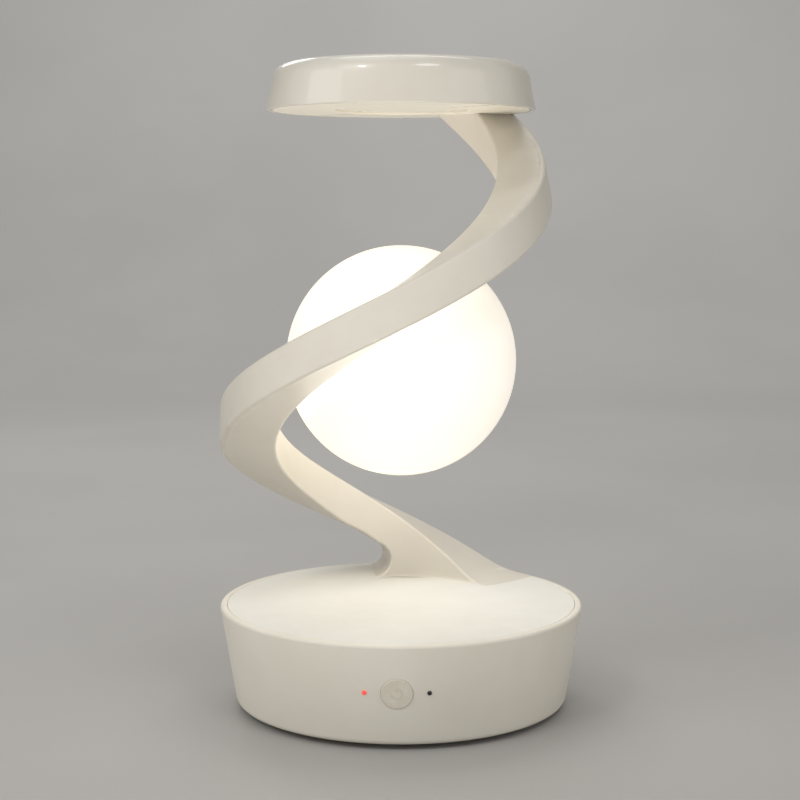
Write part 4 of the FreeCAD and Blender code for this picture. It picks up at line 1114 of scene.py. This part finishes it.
def make_full_arm():
    """The whole unrolled arm with soft edges, cut level where it has to bend."""
    outside = arm_side(GAP_OUTSIDE, arm_low_outside, arm_top_outside)
    inside = arm_side(GAP_INSIDE, arm_low_inside, arm_top_inside)
    arm = flat_shape("arm_body_skin", outside)
    open_up(arm, "FACE")
    bpy.ops.mesh.select_all(action="SELECT")
    bpy.ops.mesh.extrude_region_move(TRANSFORM_OT_translate={"value": (0.0, ARM_WIDTH * MM, 0.0)})
    bpy.ops.object.mode_set(mode="OBJECT")
    for corner in arm.data.vertices:
        if corner.co.y > ARM_WIDTH * MM / 2:
            here = (corner.co.x, corner.co.z)
            number = min(range(len(outside)), key=lambda item: math.dist(outside[item], here))
            corner.co.x, corner.co.z = inside[number]
    open_up(arm, "EDGE")
    bpy.ops.mesh.select_all(action="SELECT")
    bpy.ops.mesh.normals_make_consistent(inside=False)
    pick(arm, "EDGE", lambda edge: abs(edge.verts[0].co.y - edge.verts[1].co.y) < LEVEL)
    edge = ARM_EDGE * MM
    bpy.ops.mesh.bevel(
        offset=edge, offset_type="OFFSET", segments=5, profile=0.5, clamp_overlap=False
    )
    bpy.ops.mesh.select_mode(type="FACE")
    pick(arm, "FACE", lambda face: len(face.verts) > ARM_SIDE_CORNERS)
    bpy.ops.mesh.inset(thickness=ARM_INSET * MM)
    for across in ARM_LINES:
        slice_across((0.0, across * MM, 0.0), (0.0, 1.0, 0.0))
    for height in ARM_LEVELS:
        slice_across((0.0, 0.0, height * MM), (0.0, 0.0, 1.0))
    bpy.ops.object.mode_set(mode="OBJECT")
    return arm


def sliced(arm):
    """Cut a length of the unrolled arm into short steps so that it can follow the curve."""
    open_up(arm)
    angle = ARM_FIRST + ARM_STEP / 2
    while angle < ARM_LAST:
        slice_across((unrolled(angle) * MM, 0.0, 0.0), (1.0, 0.0, 0.0))
        angle += ARM_STEP / 2
    bpy.ops.object.mode_set(mode="OBJECT")
    return arm


def trimmed(piece, height, keep_below):
    """Cut a piece level and close the cut."""
    open_up(piece)
    bpy.ops.mesh.select_all(action="SELECT")
    bpy.ops.mesh.bisect(
        plane_co=(0.0, 0.0, height * MM),
        plane_no=(0.0, 0.0, 1.0),
        use_fill=True,
        clear_outer=keep_below,
        clear_inner=not keep_below,
        threshold=CUT_MERGE,
    )
    bpy.ops.object.mode_set(mode="OBJECT")
    return piece


def strip_block(name, start, depth):
    """A block over the unrolled arm's outer side, from a place along it to past its end."""
    side = COVER_BLOCK["outside"]
    end = unrolled(ARM_LAST + COVER_BLOCK["past"])
    points = [(start, side), (end, side), (end, depth), (start, depth)]
    return raised(name, points, COVER_BLOCK["low"], COVER_BLOCK["high"])


def make_arm():
    """Part the unrolled arm into the channel and its outer strip, and roll both up."""
    arm = make_full_arm()
    strip = doubled(arm, "arm_strip_skin")
    start = unrolled(COVER_START)
    cutter = strip_block("strip_cutter", start, COVER_THICKNESS + COVER_SEAM)
    keeper = strip_block("strip_keeper", start + 2 * COVER_SEAM, COVER_THICKNESS)
    carved(arm, cutter)
    carved(strip, keeper, operation="INTERSECT")
    for piece in (arm, strip):
        sliced(piece)
        for corner in piece.data.vertices:
            corner.co = rolled_up(corner.co)
        trimmed(piece, CANOPY_UNDERSIDE, True)
    trimmed(arm, BASE_TOP, False)
    close_up(arm)
    close_up(strip)
    settled(arm, ARM_SATIN, "stand", "arm_plastic", "arm_channel")
    settled(strip, STRIP_SATIN, "stand", "arm_plastic", "arm_cover")


make_arm()

# ---- studio -------------------------------------------------------------------------------------

PAPER = (colour(172, 170, 168), colour(178, 176, 174))
WHITE = (1.0, 1.0, 1.0)
WARM_WHITE = (1.0, 0.985, 0.96)
SOFT_WHITE = (1.0, 0.99, 0.97)
COOL_WHITE = (0.98, 0.99, 1.0)
LAMP_MIDDLE = (0.0, 0.0, 0.1)
LAMP_LOW = (0.0, 0.0, 0.08)
LAMP_TOP = (0.0, 0.0, 0.24)
BOUNCE_PLACE = (-0.05, -0.5, 0.004)
OVER_BOUNCE = (-0.05, -0.5, 1.0)


def make_studio():
    """A paper floor that curves up into a backdrop."""
    release()
    bpy.ops.mesh.primitive_plane_add(size=1.0, location=(0.0, 0.0, 0.0))
    floor = bpy.context.object
    floor.name = "studio_floor"
    floor.scale = (8.0, 5.0, 1.0)
    floor.location = (0.0, -0.7, 0.0)
    bpy.ops.object.transform_apply(location=True, rotation=True, scale=True)
    open_up(floor, "EDGE")
    pick(floor, "EDGE", lambda edge: min(corner.co.y for corner in edge.verts) > 1.0)
    bpy.ops.mesh.extrude_edges_move(TRANSFORM_OT_translate={"value": (0.0, 0.0, 3.0)})
    pick(floor, "EDGE", lambda edge: all(end.co.y > 1.0 and end.co.z < 0.1 for end in edge.verts))
    bpy.ops.mesh.bevel(offset=0.8, segments=24, profile=0.5)
    bpy.ops.object.mode_set(mode="OBJECT")
    smooth(floor, 60)
    finish, tree, shader, vector = start_finish("studio_paper")
    cloud = ramp(tree, noise(tree, vector, 3.0, 3.0), 0.3, 0.7)
    tree.links.new(blend(tree, cloud, *PAPER), shader.inputs["Base Color"])
    shader.inputs["Roughness"].default_value = 0.55
    floor.data.materials.append(finish)


def area_light(name, place, target, size, power, tone, height=None):
    """A round or oval light that faces a target, with its power in watts."""
    data = bpy.data.lights.new(name, "AREA")
    data.shape = "ELLIPSE"
    data.size = size
    data.size_y = height or size
    data.energy = power
    data.color = tone
    lamp = bpy.data.objects.new(name, data)
    lamp.location = place
    lamp.rotation_euler = (Vector(target) - Vector(place)).to_track_quat("-Z", "Y").to_euler()
    bpy.context.scene.collection.objects.link(lamp)


make_studio()
area_light("key_light", (-1.0, -1.0, 1.45), LAMP_MIDDLE, size=1.0, power=3.6, tone=WARM_WHITE)
area_light("fill_light", (0.46, -0.78, 1.25), LAMP_MIDDLE, size=0.42, power=2.0, tone=COOL_WHITE, height=0.3)
area_light("top_light", (-0.15, 0.2, 1.4), LAMP_MIDDLE, size=0.8, power=1.3, tone=WHITE)
area_light("rim_light", (-0.4, 0.95, 0.75), LAMP_LOW, size=0.3, power=0.8, tone=SOFT_WHITE)
area_light("left_light", (-1.1, -0.45, 0.48), LAMP_LOW, size=0.8, power=2.5, tone=SOFT_WHITE)
area_light("right_light", (1.0, -0.55, 0.48), LAMP_LOW, size=0.8, power=1.35, tone=SOFT_WHITE)
area_light("bounce_light", BOUNCE_PLACE, OVER_BOUNCE, size=0.56, power=2.3, tone=(1.0, 0.98, 0.95))
area_light("spark_light", (-0.50, -0.66, 0.92), LAMP_TOP, size=0.15, power=0.9, tone=WHITE)
area_light("backdrop_light", (0.0, 0.9, 1.6), (0.0, 1.6, 0.7), size=1.2, power=9.0, tone=WHITE)

world = bpy.data.worlds.new("studio_world")
world.use_nodes = True
world.node_tree.nodes["Background"].inputs["Color"].default_value = colour(222, 221, 217)
world.node_tree.nodes["Background"].inputs["Strength"].default_value = 0.65
bpy.context.scene.world = world

bpy.context.view_layer.update()
